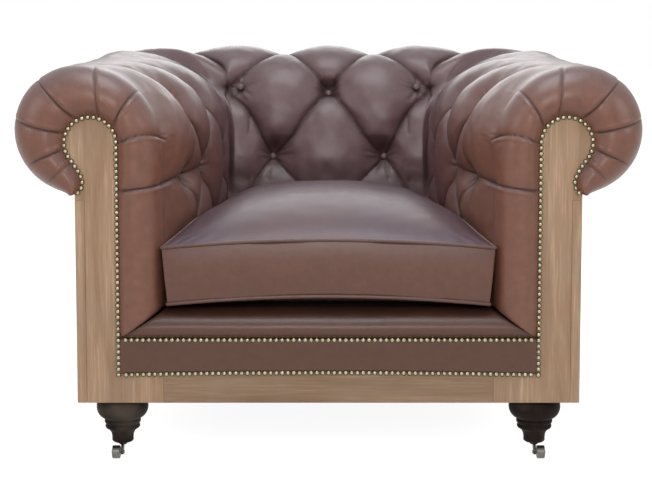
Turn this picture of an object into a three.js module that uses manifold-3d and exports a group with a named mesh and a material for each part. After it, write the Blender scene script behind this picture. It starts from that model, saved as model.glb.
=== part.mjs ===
// Rolled-arm club chair: deep-buttoned leather over a wood frame, a loose box cushion,
// keyhole wood facings on the arms, two turned front legs on swivel casters.
// Millimetres, +Z up, the front faces -Y, +X to the right seen from the front.
// "Depth" runs backwards from the front plane of the wood, "side" runs outwards from the
// middle plane, so one half of the chair describes both.

import * as THREE from 'three';
import { mergeVertices } from 'three/addons/utils/BufferGeometryUtils.js';
import Module from 'manifold-3d';

// Wood frame
const frameBottom = 115.7;
const frameHalfWidth = 461.6;
const frameRear = 803.6;
const railHeight = 118.6;
const bandRise = 55;
const boardThickness = 17.6;
const facingThickness = 22;
const frontRailThickness = 28;
const stileDepth = 60;
const stileShort = 11;
const rearPostWidth = 60;
const rearPostThickness = 28;
const armRailHeight = 69;
const cornerBlockWidth = 110;
const cornerBlockDepth = 88;

// Keyhole head of the arm facings
const headRadius = 50;
const headInset = 29.2;
const headDrop = 139;
const neckTopAngle = -35;
const neckInset = 23.6;
const neckDrop = 75;
const neckReach = 30;

// Rolled arms
const armCrestHeight = 734.7;
const armRollRadius = 117;
const armCrestInset = 3.6;
const armTaper = 81;
const armTaperPower = 1.6;
const armFrontEdge = 40;
const armSlabInset = 3.6;

// Rolled back
const backCrestRise = 7;
const backCrestInset = 3.6;
const backFaceReach = 155;
const backSeatReach = 45;
const backSlabInset = 55;

// Shared section of arms and back: the roll, the shoulder and the straight face
const seatHeight = 289.7;
const shoulderFall = 172;
const shoulderDrop = 70;
const crownReach = 0.6;
const rollSweep = 172;

// Button pattern: rows count down the face from the top buttons, columns run along it
const rowHeight = 130;
const shoulderRow = 0.65;
const firstRow = -3.7;
const crestRow = -1;
const armFirstButton = 250;
const armLastColumn = 3;
const cornerColumn = 4;
const backColumn = 112.5;
const backColumnSpread = 11.5;

// Depth of the tufting
const backTuft = 26;
const armTuft = 22;
const tuftMean = 0.45;
const cornerFill = 0.42;
const buttonPit = 18;
const pitRadius = 32;

// Padded front border round the facings and along the seat
const borderWidth = 79.4;
const borderRise = 22;
const borderStartAngle = -48;
const borderShoulder = 0.35;
const borderSteps = 6;
const borderPleatDepth = 6;
const borderPleatWidth = 0.07;
const borderPleats = [-3.36, -2.93, -2.3, -1.6, -0.75, -0.25, 0.25, 1];

// Leather, cloth and running gaps
const leatherThickness = 2;
const panelThickness = 3;
const seatGap = 0.3;
const webbingThickness = 3;
const strapWidth = 60;
const strapGap = 68;
const coverThickness = 1.2;
const coverInset = 10;
const coverFrontCut = 56;
const coverRearCut = 36;

// Seat
const borderRear = 45;
const cushionOverhang = 6;
const cushionSpread = 4;
const cushionTuck = 10;
const cushionHeight = 114;
const cushionEdgeRise = 10;
const cushionEdgeRoll = 12;
const cushionSqueeze = 25;
const cushionPinch = 7;
const cushionCrown = 41;
const cushionSideGap = 4;
const cushionCorner = 3;
const cushionFrontArch = 15;
const cushionBelly = 6;

// Buttons
const buttonRadius = 8.4;
const buttonDome = 3.6;
const buttonShank = 9;

// Turned front legs: bun, two rings and a hollow taper
const legInset = 76;
const legDepth = 52;
const legFoot = 31;
const legTopRadius = 40;
const bunRadius = 48;
const bunFootRadius = 31.7;
const upperRingRadius = 33.5;
const lowerRingRadius = 32.4;
const waistRadius = 30.5;
const ankleRadius = 20;
const footRounding = 2.5;

// Heights on the front leg, as shares of the way from its foot to the frame
const bunTopHandle = 0.91;
const bunLowHandle = 0.6;
const bunFootShare = 0.521;
const upperRingShare = 0.468;
const waistShare = 0.398;
const lowerRingShare = 0.35;
const coveShare = 0.309;
const coveHandle = 0.25;
const ankleShare = 0.1;
const footShare = 0.03;

// Square rear legs
const rearLegInset = 61.6;
const rearLegBack = 43.6;
const rearLegTop = 52;
const rearLegFoot = 36;

// Casters
const socketRadius = 14;
const socketPlate = 1.7;
const socketBore = 3.8;
const socketWall = 2.2;
const socketDepth = 20;
const stemRadius = 3.5;
const stemLength = 17;
const wheelRadius = 12.25;
const wheelWidth = 14.4;
const wheelOffset = 11.3;
const wheelTrail = 10;
const axleRadius = 2.2;
const axleClearance = 0.3;
const axleCapRadius = 3.7;
const forkInside = -2;
const forkThickness = 4.5;
const forkDrop = 2.4;
const forkCrownThickness = 3.4;
const forkCrownRadius = 7;
const forkEyeRadius = 5;

const degrees = THREE.MathUtils.degToRad;
const lerp = THREE.MathUtils.lerp;
const clamp = THREE.MathUtils.clamp;
const smooth = (low, high, value) => THREE.MathUtils.smoothstep(value, low, high);

// Heights and places that follow from the sizes above
const railTop = frameBottom + railHeight;
const webbingTop = railTop + webbingThickness;
const sweepShare = 1 - Math.cos(degrees(rollSweep));
const underRoll = armCrestHeight - armRollRadius * sweepShare;
const stileTop = underRoll - stileShort;
const shoulderHeight = armCrestHeight - shoulderFall;
const lastRow = shoulderRow + (shoulderHeight - seatHeight) / rowHeight;
const headSide = frameHalfWidth - headInset;
const headHeight = armCrestHeight - headDrop;
const facingInner = headSide - headRadius;
const armCrestSide = frameHalfWidth - armCrestInset;
const armFaceFront = facingInner - borderWidth;
const armSlabSide = facingInner + armSlabInset;
const backCrestDepth = frameRear - backCrestInset;
const backRollRadius = armRollRadius + backCrestRise / sweepShare;
const backFaceDepth = backCrestDepth - backFaceReach;
const backSeatDepth = backFaceDepth - backSeatReach;
const backSlabDepth = backFaceDepth + backSlabInset;
const armColumn = (backFaceDepth - armFirstButton) / cornerColumn;
const legSide = frameHalfWidth - legInset;
const legBore = socketBore + socketWall + seatGap;
const rearLegSide = frameHalfWidth - rearLegInset;
const rearLegDepth = frameRear - rearLegBack;

const leather = new THREE.MeshStandardMaterial({ color: 0x6f4c43, roughness: 0.42 });
const cushionLeather = new THREE.MeshStandardMaterial({ color: 0x6a4b45, roughness: 0.45 });
const faceWood = new THREE.MeshStandardMaterial({ color: 0xa58c73, roughness: 0.75 });
const innerWood = new THREE.MeshStandardMaterial({ color: 0xb59a74, roughness: 0.85 });
const darkWood = new THREE.MeshStandardMaterial({ color: 0x32261f, roughness: 0.35 });
const webCloth = new THREE.MeshStandardMaterial({ color: 0x8f7d5c, roughness: 0.95 });
const blackCloth = new THREE.MeshStandardMaterial({ color: 0x1b1a1a, roughness: 0.95 });
const castMetal = new THREE.MeshStandardMaterial({ color: 0x4a4743, roughness: 0.4, metalness: 0.9 });
const paleMetal = new THREE.MeshStandardMaterial({ color: 0xaaaaa6, roughness: 0.3, metalness: 0.9 });

const wasm = await Module();
wasm.setup();

// Merges shared corners, drops faces without area and turns the body right side out.
function closedBody(source) {
  const loose = source.index ? source.toNonIndexed() : source.clone();
  loose.deleteAttribute('normal');
  loose.deleteAttribute('uv');
  const merged = mergeVertices(loose, 1e-3);
  const points = merged.attributes.position;
  const faces = [];
  const a = new THREE.Vector3();
  const b = new THREE.Vector3();
  const c = new THREE.Vector3();
  let volume = 0;
  for (let i = 0; i < merged.index.count; i += 3) {
    const face = [0, 1, 2].map((k) => merged.index.getX(i + k));
    if (new Set(face).size < 3) continue;
    a.fromBufferAttribute(points, face[0]);
    b.fromBufferAttribute(points, face[1]);
    c.fromBufferAttribute(points, face[2]);
    volume += a.dot(b.cross(c));
    faces.push(face);
  }
  const turned = volume < 0 ? faces.map(([i, j, k]) => [i, k, j]) : faces;
  merged.setIndex(turned.flat());
  return merged;
}

function toManifold(geometry) {
  const body = closedBody(geometry);
  return new wasm.Manifold(new wasm.Mesh({
    numProp: 3,
    vertProperties: new Float32Array(body.attributes.position.array),
    triVerts: new Uint32Array(body.index.array),
  }));
}

function fromManifold(solid) {
  const mesh = solid.getMesh();
  const geometry = new THREE.BufferGeometry();
  geometry.setAttribute('position', new THREE.BufferAttribute(new Float32Array(mesh.vertProperties), 3));
  geometry.setIndex(Array.from(mesh.triVerts));
  return geometry;
}

// A box between two corners.
function boxBetween(low, high) {
  const size = high.map((value, i) => value - low[i]);
  const geometry = new THREE.BoxGeometry(...size);
  return geometry.translate(...low.map((value, i) => value + size[i] / 2));
}

// A shape drawn as (side, height), given thickness backwards from a depth.
function uprightBoard(shape, depth, thickness, curveSegments = 8) {
  const options = { depth: thickness, bevelEnabled: false, curveSegments };
  return new THREE.ExtrudeGeometry(shape, options).rotateX(Math.PI / 2).translate(0, depth + thickness, 0);
}

// A shape drawn as (side, depth), given thickness upwards from a height.
function flatBoard(shape, height, thickness) {
  const options = { depth: thickness, bevelEnabled: false };
  return new THREE.ExtrudeGeometry(shape, options).translate(0, 0, height);
}

// A closed skin over rings of equal length. centrePoint gives the true surface in the middle
// of a cell, so each cell folds along the diagonal that follows the crease.
function loftRings(rings, capAxes, centrePoint) {
  const count = rings[0].length;
  const triangles = [];
  const middle = new THREE.Vector3();
  for (let r = 0; r + 1 < rings.length; r += 1) {
    for (let k = 0; k < count; k += 1) {
      const next = (k + 1) % count;
      const [p, q] = [rings[r][k], rings[r][next]];
      const [s, t] = [rings[r + 1][k], rings[r + 1][next]];
      const centre = centrePoint ? centrePoint(r, k) : null;
      const miss = (from, to) => middle.lerpVectors(from, to, 0.5).distanceTo(centre);
      const fold = !centre || miss(p, t) < miss(q, s);
      triangles.push(...(fold ? [p, q, t, p, t, s] : [p, q, s, q, t, s]));
    }
  }
  const last = rings.length - 1;
  const outlines = [0, last].map((r) => rings[r].map((point) => new THREE.Vector2(...capAxes(point))));
  const forward = !THREE.ShapeUtils.isClockWise(outlines[1]);
  [0, last].forEach((r, end) => {
    const outward = forward === (end === 1);
    THREE.ShapeUtils.triangulateShape(outlines[end], []).forEach((face) => {
      const corners = face.map((k) => rings[r][k]);
      triangles.push(...(outward ? corners : corners.reverse()));
    });
  });
  return closedBody(new THREE.BufferGeometry().setFromPoints(triangles));
}

// Section of an arm or the back at a row: reach outwards from the sitter, and height.
function sectionPoint(row, section) {
  const rollHeight = section.crestHeight - section.radius;
  if (row <= crestRow) {
    const angle = degrees(90 - ((crestRow - row) * rollSweep) / (crestRow - firstRow));
    const { crest: middle, radius } = section;
    return [middle + radius * Math.cos(angle), rollHeight + radius * Math.sin(angle)];
  }
  if (row >= shoulderRow) {
    const height = shoulderHeight - (row - shoulderRow) * rowHeight;
    const share = (shoulderHeight - height) / (shoulderHeight - seatHeight);
    return [lerp(section.face, section.seat, share), height];
  }
  const slope = (section.face - section.seat) / (shoulderHeight - seatHeight);
  const rise = section.crestHeight - shoulderDrop - shoulderHeight;
  const crown = lerp(section.crest, section.face, crownReach);
  const t = (row - crestRow) / (shoulderRow - crestRow);
  const weights = [(1 - t) ** 3, 3 * t * (1 - t) ** 2, 3 * t * t * (1 - t), t ** 3];
  const reach = [section.crest, crown, section.face + slope * rise, section.face];
  const height = [section.crestHeight, section.crestHeight, shoulderHeight + rise, shoulderHeight];
  const blend = (values) => values.reduce((sum, value, i) => sum + value * weights[i], 0);
  return [blend(reach), blend(height)];
}

// Inner face of an arm: the seat narrows towards the back.
function armFace(depth) {
  const share = clamp((depth - armFrontEdge) / (backFaceDepth - armFrontEdge), 0, 1);
  return armFaceFront - armTaper * (1 - (1 - share) ** armTaperPower);
}

function armSection(depth) {
  const face = armFace(depth);
  return { crest: armCrestSide, crestHeight: armCrestHeight, radius: armRollRadius, face, seat: face };
}

const backSection = {
  crest: backCrestDepth,
  crestHeight: armCrestHeight + backCrestRise,
  radius: backRollRadius,
  face: backFaceDepth,
  seat: backSeatDepth,
};

// Facing outline that meets a row of the arm's section, as side and height.
function keyholePoint(row, grow = 0) {
  const radius = headRadius + grow;
  const neckRow = -3.32;
  const sideRow = borderPleats[6];
  if (row < neckRow) {
    const t = (neckRow - row) / (neckRow - firstRow);
    return neckCurve(grow).getPoint(t).toArray();
  }
  if (row < sideRow) {
    const angle = row < crestRow
      ? lerp(neckTopAngle, 90, (row - neckRow) / (crestRow - neckRow))
      : lerp(90, 180, (row - crestRow) / (sideRow - crestRow));
    return [headSide + radius * Math.cos(degrees(angle)), headHeight + radius * Math.sin(degrees(angle))];
  }
  const share = (row - sideRow) / (lastRow - sideRow);
  const drop = headHeight - webbingTop - seatGap;
  return [facingInner - grow, headHeight - drop * (0.72 * share + 0.28 * share * share)];
}

// Hollow of the keyhole under its head, from the circle to the frame's outer edge.
function neckCurve(grow) {
  const angle = degrees(neckTopAngle);
  const radius = headRadius + grow;
  const outwards = new THREE.Vector2(Math.cos(angle), Math.sin(angle));
  const start = outwards.multiplyScalar(radius).add(new THREE.Vector2(headSide, headHeight));
  const leave = new THREE.Vector2(Math.sin(angle), -Math.cos(angle)).multiplyScalar(neckReach).add(start);
  const arrive = new THREE.Vector2(frameHalfWidth - neckInset + grow, headHeight - neckDrop);
  const end = new THREE.Vector2(frameHalfWidth + grow, underRoll);
  return new THREE.CubicBezierCurve(start, leave, arrive, end);
}

// Rounded profile of the padded border: share of its width, and depth.
function borderProfile(step) {
  const angle = lerp(borderStartAngle, 90, step);
  const reach = Math.sin(degrees(angle));
  const start = Math.sin(degrees(borderStartAngle));
  const share = angle < 0
    ? borderShoulder * (1 - reach / start)
    : borderShoulder + (1 - borderShoulder) * reach;
  return [share, armFrontEdge - (armFrontEdge + borderRise) * Math.cos(degrees(angle))];
}

const borderColumn = (armFrontEdge - armFirstButton) / armColumn;
const borderLength = 1;

// Padding under the tufting, without its relief. Columns below borderColumn are the border.
function armBase(row, column) {
  if (column < borderColumn) {
    const [share, depth] = borderProfile(1 + (column - borderColumn) / borderLength);
    const [side, height] = sectionPoint(row, armSection(armFrontEdge));
    const [innerSide, innerHeight] = keyholePoint(row);
    return new THREE.Vector3(lerp(innerSide, side, share), depth, lerp(innerHeight, height, share));
  }
  const nominal = armFirstButton + armColumn * column;
  const [side, armHeight] = sectionPoint(row, armSection(nominal));
  const [cornerDepth, cornerHeight] = sectionPoint(row, backSection);
  const lastDepth = armFirstButton + armColumn * armLastColumn;
  const past = column - armLastColumn;
  const depth = past <= 0 ? nominal : lerp(lastDepth, cornerDepth, past);
  const height = lerp(armHeight, cornerHeight, smooth(1.5, cornerColumn, column));
  return new THREE.Vector3(side, depth, height);
}

// The back's columns follow its buttons, then fan out to the corner.
function backBase(row, column) {
  const [depth, height] = sectionPoint(row, backSection);
  const corner = armBase(row, cornerColumn).x;
  const step = backColumn + backColumnSpread * clamp(row, -1.2, 1.2);
  const second = Math.min(2 * step, 0.93 * corner);
  const place = Math.abs(column);
  let side = place * step;
  if (place > 1) side = lerp(step, second, place - 1);
  if (place > 2) side = lerp(second, corner, (place - 2) / (cornerColumn - 2));
  return new THREE.Vector3(Math.sign(column) * side, depth, height);
}

const crease = (value) => Math.abs(Math.sin((Math.PI * value) / 2));
const diamond = (row, column) => Math.sqrt(crease(column - row) * crease(column + row));

function pitAt(row, column, buttonRow, buttonColumn) {
  const away = Math.hypot((column - buttonColumn) * armColumn, (row - buttonRow) * rowHeight);
  return buttonPit * Math.exp(-((away / pitRadius) ** 2));
}

const armButtons = [[0, 0], [0, 2], [1, 1], [1, 3]];
const armTucks = [...armButtons, [1, -0.66]];
const backButtons = [[0, 0], [0, -1.75], [0, 1.75], [1, -1], [1, 1]];

// Pillow height of the arms, from 0 in a crease to 1 on a crown. It evens out at the corner.
function armPillow(row, column) {
  const level = (value) => lerp(value, cornerFill, smooth(3.4, cornerColumn, column));
  if (row < 0) {
    const past = column - Math.max(row, crestRow);
    if (past < -1) return 1;
    return level(past > 4 ? Math.sin((Math.PI / 2) * Math.min(1, past - 4)) : crease(past));
  }
  const ahead = 1 - Math.abs(row - 1) - column;
  if (ahead > 0 && row < 2) {
    const fold = 0.75 * Math.exp(-(((row - 1) / 0.14) ** 2));
    return Math.sin((Math.PI / 2) * Math.min(1, ahead)) * (1 - fold);
  }
  return level(diamond(row, column));
}

// Pillow height of the back.
function backPillow(row, column) {
  const place = Math.abs(column);
  const level = Math.max(row, crestRow);
  const inner = lerp(diamond(level, Math.min(place, 2)), cornerFill, smooth(2, cornerColumn, place));
  if (row >= 0 || place <= 2) return inner;
  const past = place + level - 2;
  const crown = past > 0 ? Math.sin((Math.PI / 2) * Math.min(1, past)) : diamond(level, place);
  const outer = lerp(crown, cornerFill, smooth(3.4, cornerColumn, place));
  return lerp(inner, outer, smooth(0, 0.5, -row));
}

// Relief of the leather over its padding. It fades behind the cushion and over the roll.
function armRelief(row, column) {
  const seat = 1 - smooth(1.5, 1.95, row);
  const fade = smooth(borderColumn, -1.1, column) * seat * smooth(-1.1, -0.3, row);
  const corner = smooth(3, cornerColumn, column);
  const over = smooth(-2, -1.1, row) * seat;
  const mask = lerp(fade, over, corner);
  const height = lerp(armTuft, backTuft, corner);
  const pits = armTucks.reduce((sum, [r, c]) => sum + pitAt(row, column, r, c), 0);
  return mask * height * (armPillow(row, column) - tuftMean) - pits;
}

function backRelief(row, column) {
  const mask = smooth(-2, -1.1, row) * (1 - smooth(1.5, 1.95, row));
  const pits = backButtons.reduce((sum, [r, c]) => sum + pitAt(row, column, r, c), 0);
  const fade = 1 - smooth(3, cornerColumn, Math.abs(column));
  return mask * backTuft * (backPillow(row, column) - tuftMean) - pits * fade;
}

// Radial pleats that gather the border round the facing.
function pleatRelief(row, column) {
  const along = smooth(borderColumn - borderLength, borderColumn - 0.6, column)
    * (1 - smooth(borderColumn - 0.1, borderColumn + 0.35, column));
  const dent = (pleat) => Math.exp(-(((row - pleat) / borderPleatWidth) ** 2));
  const fold = borderPleats.reduce((sum, pleat) => sum + dent(pleat), 0);
  return -borderPleatDepth * fold * along;
}

// Across the section and along the piece; it points out of an arm and into the back.
function surfaceNormal(base, row, column) {
  const step = 0.02;
  const along = base(row, column + step).sub(base(row, column - step));
  const across = base(row + step, column).sub(base(row - step, column));
  return along.cross(across).normalize();
}

function armSurface(row, column) {
  const relief = armRelief(row, column) + pleatRelief(row, column);
  return armBase(row, column).addScaledVector(surfaceNormal(armBase, row, column), relief);
}

function backSurface(row, column) {
  const relief = backRelief(row, column);
  return backBase(row, column).addScaledVector(surfaceNormal(backBase, row, column), -relief);
}

// Line on which arm and back meet, halfway between their own edges.
function cornerSurface(row) {
  return armSurface(row, cornerColumn).lerp(backSurface(row, cornerColumn), 0.5);
}

const quarter = 0.25;
const flatRow = 1.75;

// Rows of the section: round the roll through each outer pleat, then by quarters to the seat.
function sectionRows() {
  const outer = [firstRow, ...borderPleats.filter((row) => row < crestRow), crestRow];
  const list = [firstRow];
  outer.slice(1).forEach((row, i) => {
    const steps = Math.ceil((row - outer[i]) / quarter);
    for (let step = 1; step <= steps; step += 1) list.push(lerp(outer[i], row, step / steps));
  });
  for (let row = crestRow + quarter; row < flatRow + 0.1; row += quarter) list.push(row);
  return [...list, (flatRow + lastRow) / 2, lastRow];
}

const rows = sectionRows();

// Hidden inner side of the padding at a depth or side: from the seat to under the roll.
function slabPoints(place) {
  return [webbingTop + seatGap, underRoll].map((height) => place.clone().setZ(height));
}

function armColumns() {
  const columns = [borderColumn, -1.6, -1.1];
  for (let column = -0.75; column < cornerColumn + 0.1; column += quarter) columns.push(column);
  return columns;
}

// One arm's padding, right half: border rings from the facing outwards, then the length.
function armPadding() {
  const borderStart = borderColumn - borderLength;
  const border = [];
  for (let i = 0; i < borderSteps; i += 1) border.push(lerp(borderStart, borderColumn, i / borderSteps));
  const columns = [...border, ...armColumns()];
  const seam = [keyholePoint(lastRow), keyholePoint(firstRow)].map(([side, height]) => (
    new THREE.Vector3(side, borderProfile(0)[1], height)));
  const rings = columns.map((column) => {
    if (column >= cornerColumn) {
      const edge = rows.map((row) => cornerSurface(row).setY(cornerSurface(row).y - seatGap));
      return [...edge, ...slabPoints(new THREE.Vector3(armSlabSide, backSlabDepth - seatGap, 0))];
    }
    const ring = rows.map((row) => armSurface(row, column));
    if (column < borderColumn) return [...ring, ...seam];
    return [...ring, ...slabPoints(new THREE.Vector3(armSlabSide, ring[rows.length - 1].y, 0))];
  });
  const middle = (r, k) => {
    if (k + 1 >= rows.length) return null;
    return armSurface((rows[k] + rows[k + 1]) / 2, (columns[r] + columns[r + 1]) / 2);
  };
  const padding = toManifold(loftRings(rings, (point) => [point.x + point.y, point.z], middle));
  const before = -2 * borderRise;
  const room = uprightBoard(facingShape(seatGap), before, facingThickness + seatGap - before);
  const beyond = armCrestSide + 2 * armRollRadius;
  const shaft = boxBetween([armSlabSide, before, 0], [beyond, borderRear, underRoll]);
  return fromManifold(padding.subtract(toManifold(room)).subtract(toManifold(shaft)));
}

// The back's padding, from corner to corner.
function backPadding() {
  const columns = [];
  for (let column = -cornerColumn; column < cornerColumn + 0.1; column += quarter) columns.push(column);
  const rings = columns.map((column) => {
    const end = Math.abs(column) >= cornerColumn - 1e-6;
    const sign = Math.sign(column);
    const edge = (row) => {
      const corner = cornerSurface(row);
      return corner.setX(sign * (corner.x - seatGap));
    };
    const ring = rows.map((row) => (end ? edge(row) : backSurface(row, column)));
    const reach = Math.abs(ring[rows.length - 1].x);
    const share = reach / (armBase(lastRow, cornerColumn).x - seatGap);
    const slabSide = end ? armSlabSide - seatGap : lerp(reach, armSlabSide - seatGap, smooth(0.8, 1, share));
    return [...ring, ...slabPoints(new THREE.Vector3(sign * slabSide, backSlabDepth, 0))];
  });
  const middle = (r, k) => {
    if (k + 1 >= rows.length) return null;
    return backSurface((rows[k] + rows[k + 1]) / 2, (columns[r] + columns[r + 1]) / 2);
  };
  return loftRings(rings, (point) => [Math.abs(point.x) + point.y, point.z], middle);
}

// Keyhole facing: foot beside the front rail, shaft, hollow neck and round head.
function facingShape(grow = 0) {
  const shape = new THREE.Shape();
  const outer = frameHalfWidth - boardThickness;
  shape.moveTo(armFaceFront, frameBottom);
  shape.lineTo(outer, frameBottom);
  shape.lineTo(outer, stileTop);
  shape.lineTo(frameHalfWidth + grow, stileTop);
  shape.lineTo(frameHalfWidth + grow, underRoll);
  const neck = neckCurve(grow);
  shape.bezierCurveTo(neck.v2.x, neck.v2.y, neck.v1.x, neck.v1.y, neck.v0.x, neck.v0.y);
  shape.absarc(headSide, headHeight, headRadius + grow, degrees(neckTopAngle), Math.PI, false);
  shape.lineTo(facingInner - grow, railTop);
  shape.lineTo(armFaceFront, railTop);
  return shape;
}

// Padded lip along the front of the seat, mitred into the arms' borders.
function seatBorder() {
  const bottom = webbingTop + seatGap;
  const outline = Array.from({ length: borderSteps + 1 }, (_, i) => {
    const [share, depth] = borderProfile(i / borderSteps);
    return [lerp(facingInner, armFaceFront, share), depth, lerp(bottom, seatHeight, share)];
  });
  const rear = armFace(borderRear);
  outline.push([rear, borderRear, seatHeight], [facingInner, borderRear, bottom]);
  const steps = 12;
  const rings = Array.from({ length: steps + 1 }, (_, i) => {
    const share = (2 * i) / steps - 1;
    const across = (side) => share * (side - 2 * seatGap);
    return outline.map(([side, depth, height]) => new THREE.Vector3(across(side), depth, height));
  });
  return loftRings(rings, (point) => [point.y, point.z]);
}

// Column of the arm's seat edge at a depth, and the free half width there.
function seatSide(depth) {
  const lastDepth = armFirstButton + armColumn * armLastColumn;
  const column = depth <= lastDepth
    ? (depth - armFirstButton) / armColumn
    : armLastColumn + (depth - lastDepth) / (backSeatDepth - lastDepth);
  return armBase(lastRow, Math.max(column, borderColumn)).x;
}

function seatOutline(front, rear, clearance) {
  const steps = 8;
  const half = Array.from({ length: steps + 1 }, (_, i) => {
    const depth = lerp(front, rear, i / steps);
    return new THREE.Vector2(seatSide(depth) - clearance, depth);
  });
  const mirrored = half.map((point) => new THREE.Vector2(-point.x, point.y)).reverse();
  return new THREE.Shape([...half, ...mirrored]);
}

// Half outline mirrored about the middle plane.
function symmetricShape(half) {
  const mirrored = half.map(([side, depth]) => [-side, depth]).reverse();
  return new THREE.Shape([...half, ...mirrored].map(([side, depth]) => new THREE.Vector2(side, depth)));
}

// Jute straps under the seat, woven flat, nailed to the rails all round.
function seatWebbing() {
  const inner = frameHalfWidth - boardThickness;
  const outline = symmetricShape([
    [facingInner - 1, 2],
    [facingInner - 1, facingThickness + 0.6],
    [inner - 0.5, facingThickness + 0.6],
    [inner - 0.5, stileDepth + seatGap],
    [frameHalfWidth - 6, stileDepth + seatGap],
    [frameHalfWidth - 6, frameRear - rearPostThickness - seatGap],
    [frameHalfWidth - rearPostWidth - 0.6, frameRear - rearPostThickness - seatGap],
    [frameHalfWidth - rearPostWidth - 0.6, frameRear - 8],
  ]);
  let webbing = toManifold(flatBoard(outline, railTop, webbingThickness));
  const pitch = strapWidth + strapGap;
  const across = Math.floor((2 * inner - strapWidth) / pitch);
  const along = Math.floor((frameRear - 2 * stileDepth) / pitch);
  for (let i = 0; i < across; i += 1) {
    for (let j = 0; j < along; j += 1) {
      const side = (i - across / 2) * pitch + strapWidth / 2;
      const depth = stileDepth + strapWidth + j * pitch;
      const low = [side, depth, railTop - 1];
      const high = [side + strapGap, depth + strapGap, webbingTop + 1];
      webbing = webbing.subtract(toManifold(boxBetween(low, high)));
    }
  }
  return fromManifold(webbing);
}

// Loose box cushion: narrows backwards with the seat, its front arched, its sides raised where
// the arms squeeze it, its top swollen. The grid closes up towards the seams.
function seatCushion() {
  const geometry = new THREE.BoxGeometry(2, 2, 2, 14, 14, 4);
  const points = geometry.attributes.position;
  const rear = backSeatDepth - cushionSideGap;
  const bottom = seatHeight + seatGap;
  const spaced = (value) => Math.sin((Math.PI / 2) * value);
  for (let i = 0; i < points.count; i += 1) {
    const [u, w, s] = [spaced(points.getX(i)), spaced(points.getY(i)), points.getZ(i)];
    const depth = lerp(-cushionOverhang, rear, (w + 1) / 2);
    const free = seatSide(Math.max(depth, armFrontEdge)) - cushionSideGap;
    const widest = armFaceFront + cushionSpread;
    const half = lerp(widest, free, smooth(-cushionOverhang, armFrontEdge, depth));
    const corner = cushionCorner * Math.min(u ** 12, w ** 12);
    const squeezed = smooth(-1, -0.2, w);
    const tuck = (cushionTuck * (1 - s) + cushionPinch * squeezed * (1 + s)) / 2;
    const belly = w < 0 ? cushionBelly * (1 - s * s) * w ** 6 : 0;
    const arch = cushionFrontArch * (1 - u * u) * (1 - smooth(-1, 0.4, w));
    const squeeze = cushionSqueeze * squeezed;
    const roll = cushionEdgeRoll * (1 - u ** 24) * (1 - w ** 24);
    const crown = cushionCrown * (1 - Math.abs(u) ** 2.5) * (1 - Math.abs(w) ** 3);
    const edge = Math.max(u ** 10, w ** 10);
    const low = bottom + edge * (cushionEdgeRise + 0.5 * squeeze) + arch * (w < 0 ? w ** 8 : 0);
    const high = bottom + cushionHeight + arch + squeeze + roll + crown;
    points.setXYZ(i,
      u * (half - corner - tuck),
      depth - belly + (w < 0 ? corner : -corner),
      lerp(low, high, (s + 1) / 2));
  }
  return closedBody(geometry);
}

// Turned front leg: bun, two rings and a hollow taper, bored for the caster's socket. A curve
// between two equal radii reaches half-way to its handle.
function turnedLeg() {
  const height = (share) => lerp(legFoot, frameBottom, share);
  const boreTop = legFoot + socketDepth + 1;
  const bunHandle = (8 * bunRadius - legTopRadius - bunFootRadius) / 6;
  const upperHandle = 2 * upperRingRadius - waistRadius;
  const lowerHandle = 2 * lowerRingRadius - waistRadius;
  const bunTop = height(bunTopHandle);
  const bunLow = height(bunLowHandle);
  const path = new THREE.Path();
  path.moveTo(0, frameBottom);
  path.lineTo(legTopRadius, frameBottom);
  path.bezierCurveTo(bunHandle, bunTop, bunHandle, bunLow, bunFootRadius, height(bunFootShare));
  path.quadraticCurveTo(upperHandle, height(upperRingShare), waistRadius, height(waistShare));
  path.quadraticCurveTo(lowerHandle, height(lowerRingShare), waistRadius, height(coveShare));
  path.quadraticCurveTo(ankleRadius, height(coveHandle), ankleRadius, height(ankleShare));
  path.lineTo(ankleRadius, height(footShare));
  path.lineTo(ankleRadius - footRounding, legFoot);
  path.lineTo(legBore, legFoot);
  path.lineTo(legBore, boreTop);
  path.lineTo(0, boreTop);
  return closedBody(new THREE.LatheGeometry(path.getPoints(5), 20).rotateX(Math.PI / 2));
}

// A turned body about a vertical axis, from (radius, height) corners.
function turned(corners, segments = 20) {
  const points = corners.map(([radius, height]) => new THREE.Vector2(radius, height));
  return closedBody(new THREE.LatheGeometry(points, segments).rotateX(Math.PI / 2));
}

function casterSocket() {
  const flange = legFoot - socketPlate;
  return turned([
    [socketBore, flange],
    [socketRadius, flange],
    [socketRadius, legFoot - seatGap],
    [socketBore + socketWall, legFoot - seatGap],
    [socketBore + socketWall, legFoot + socketDepth],
    [socketBore, legFoot + socketDepth],
    [socketBore, flange],
  ], 16);
}

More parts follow.
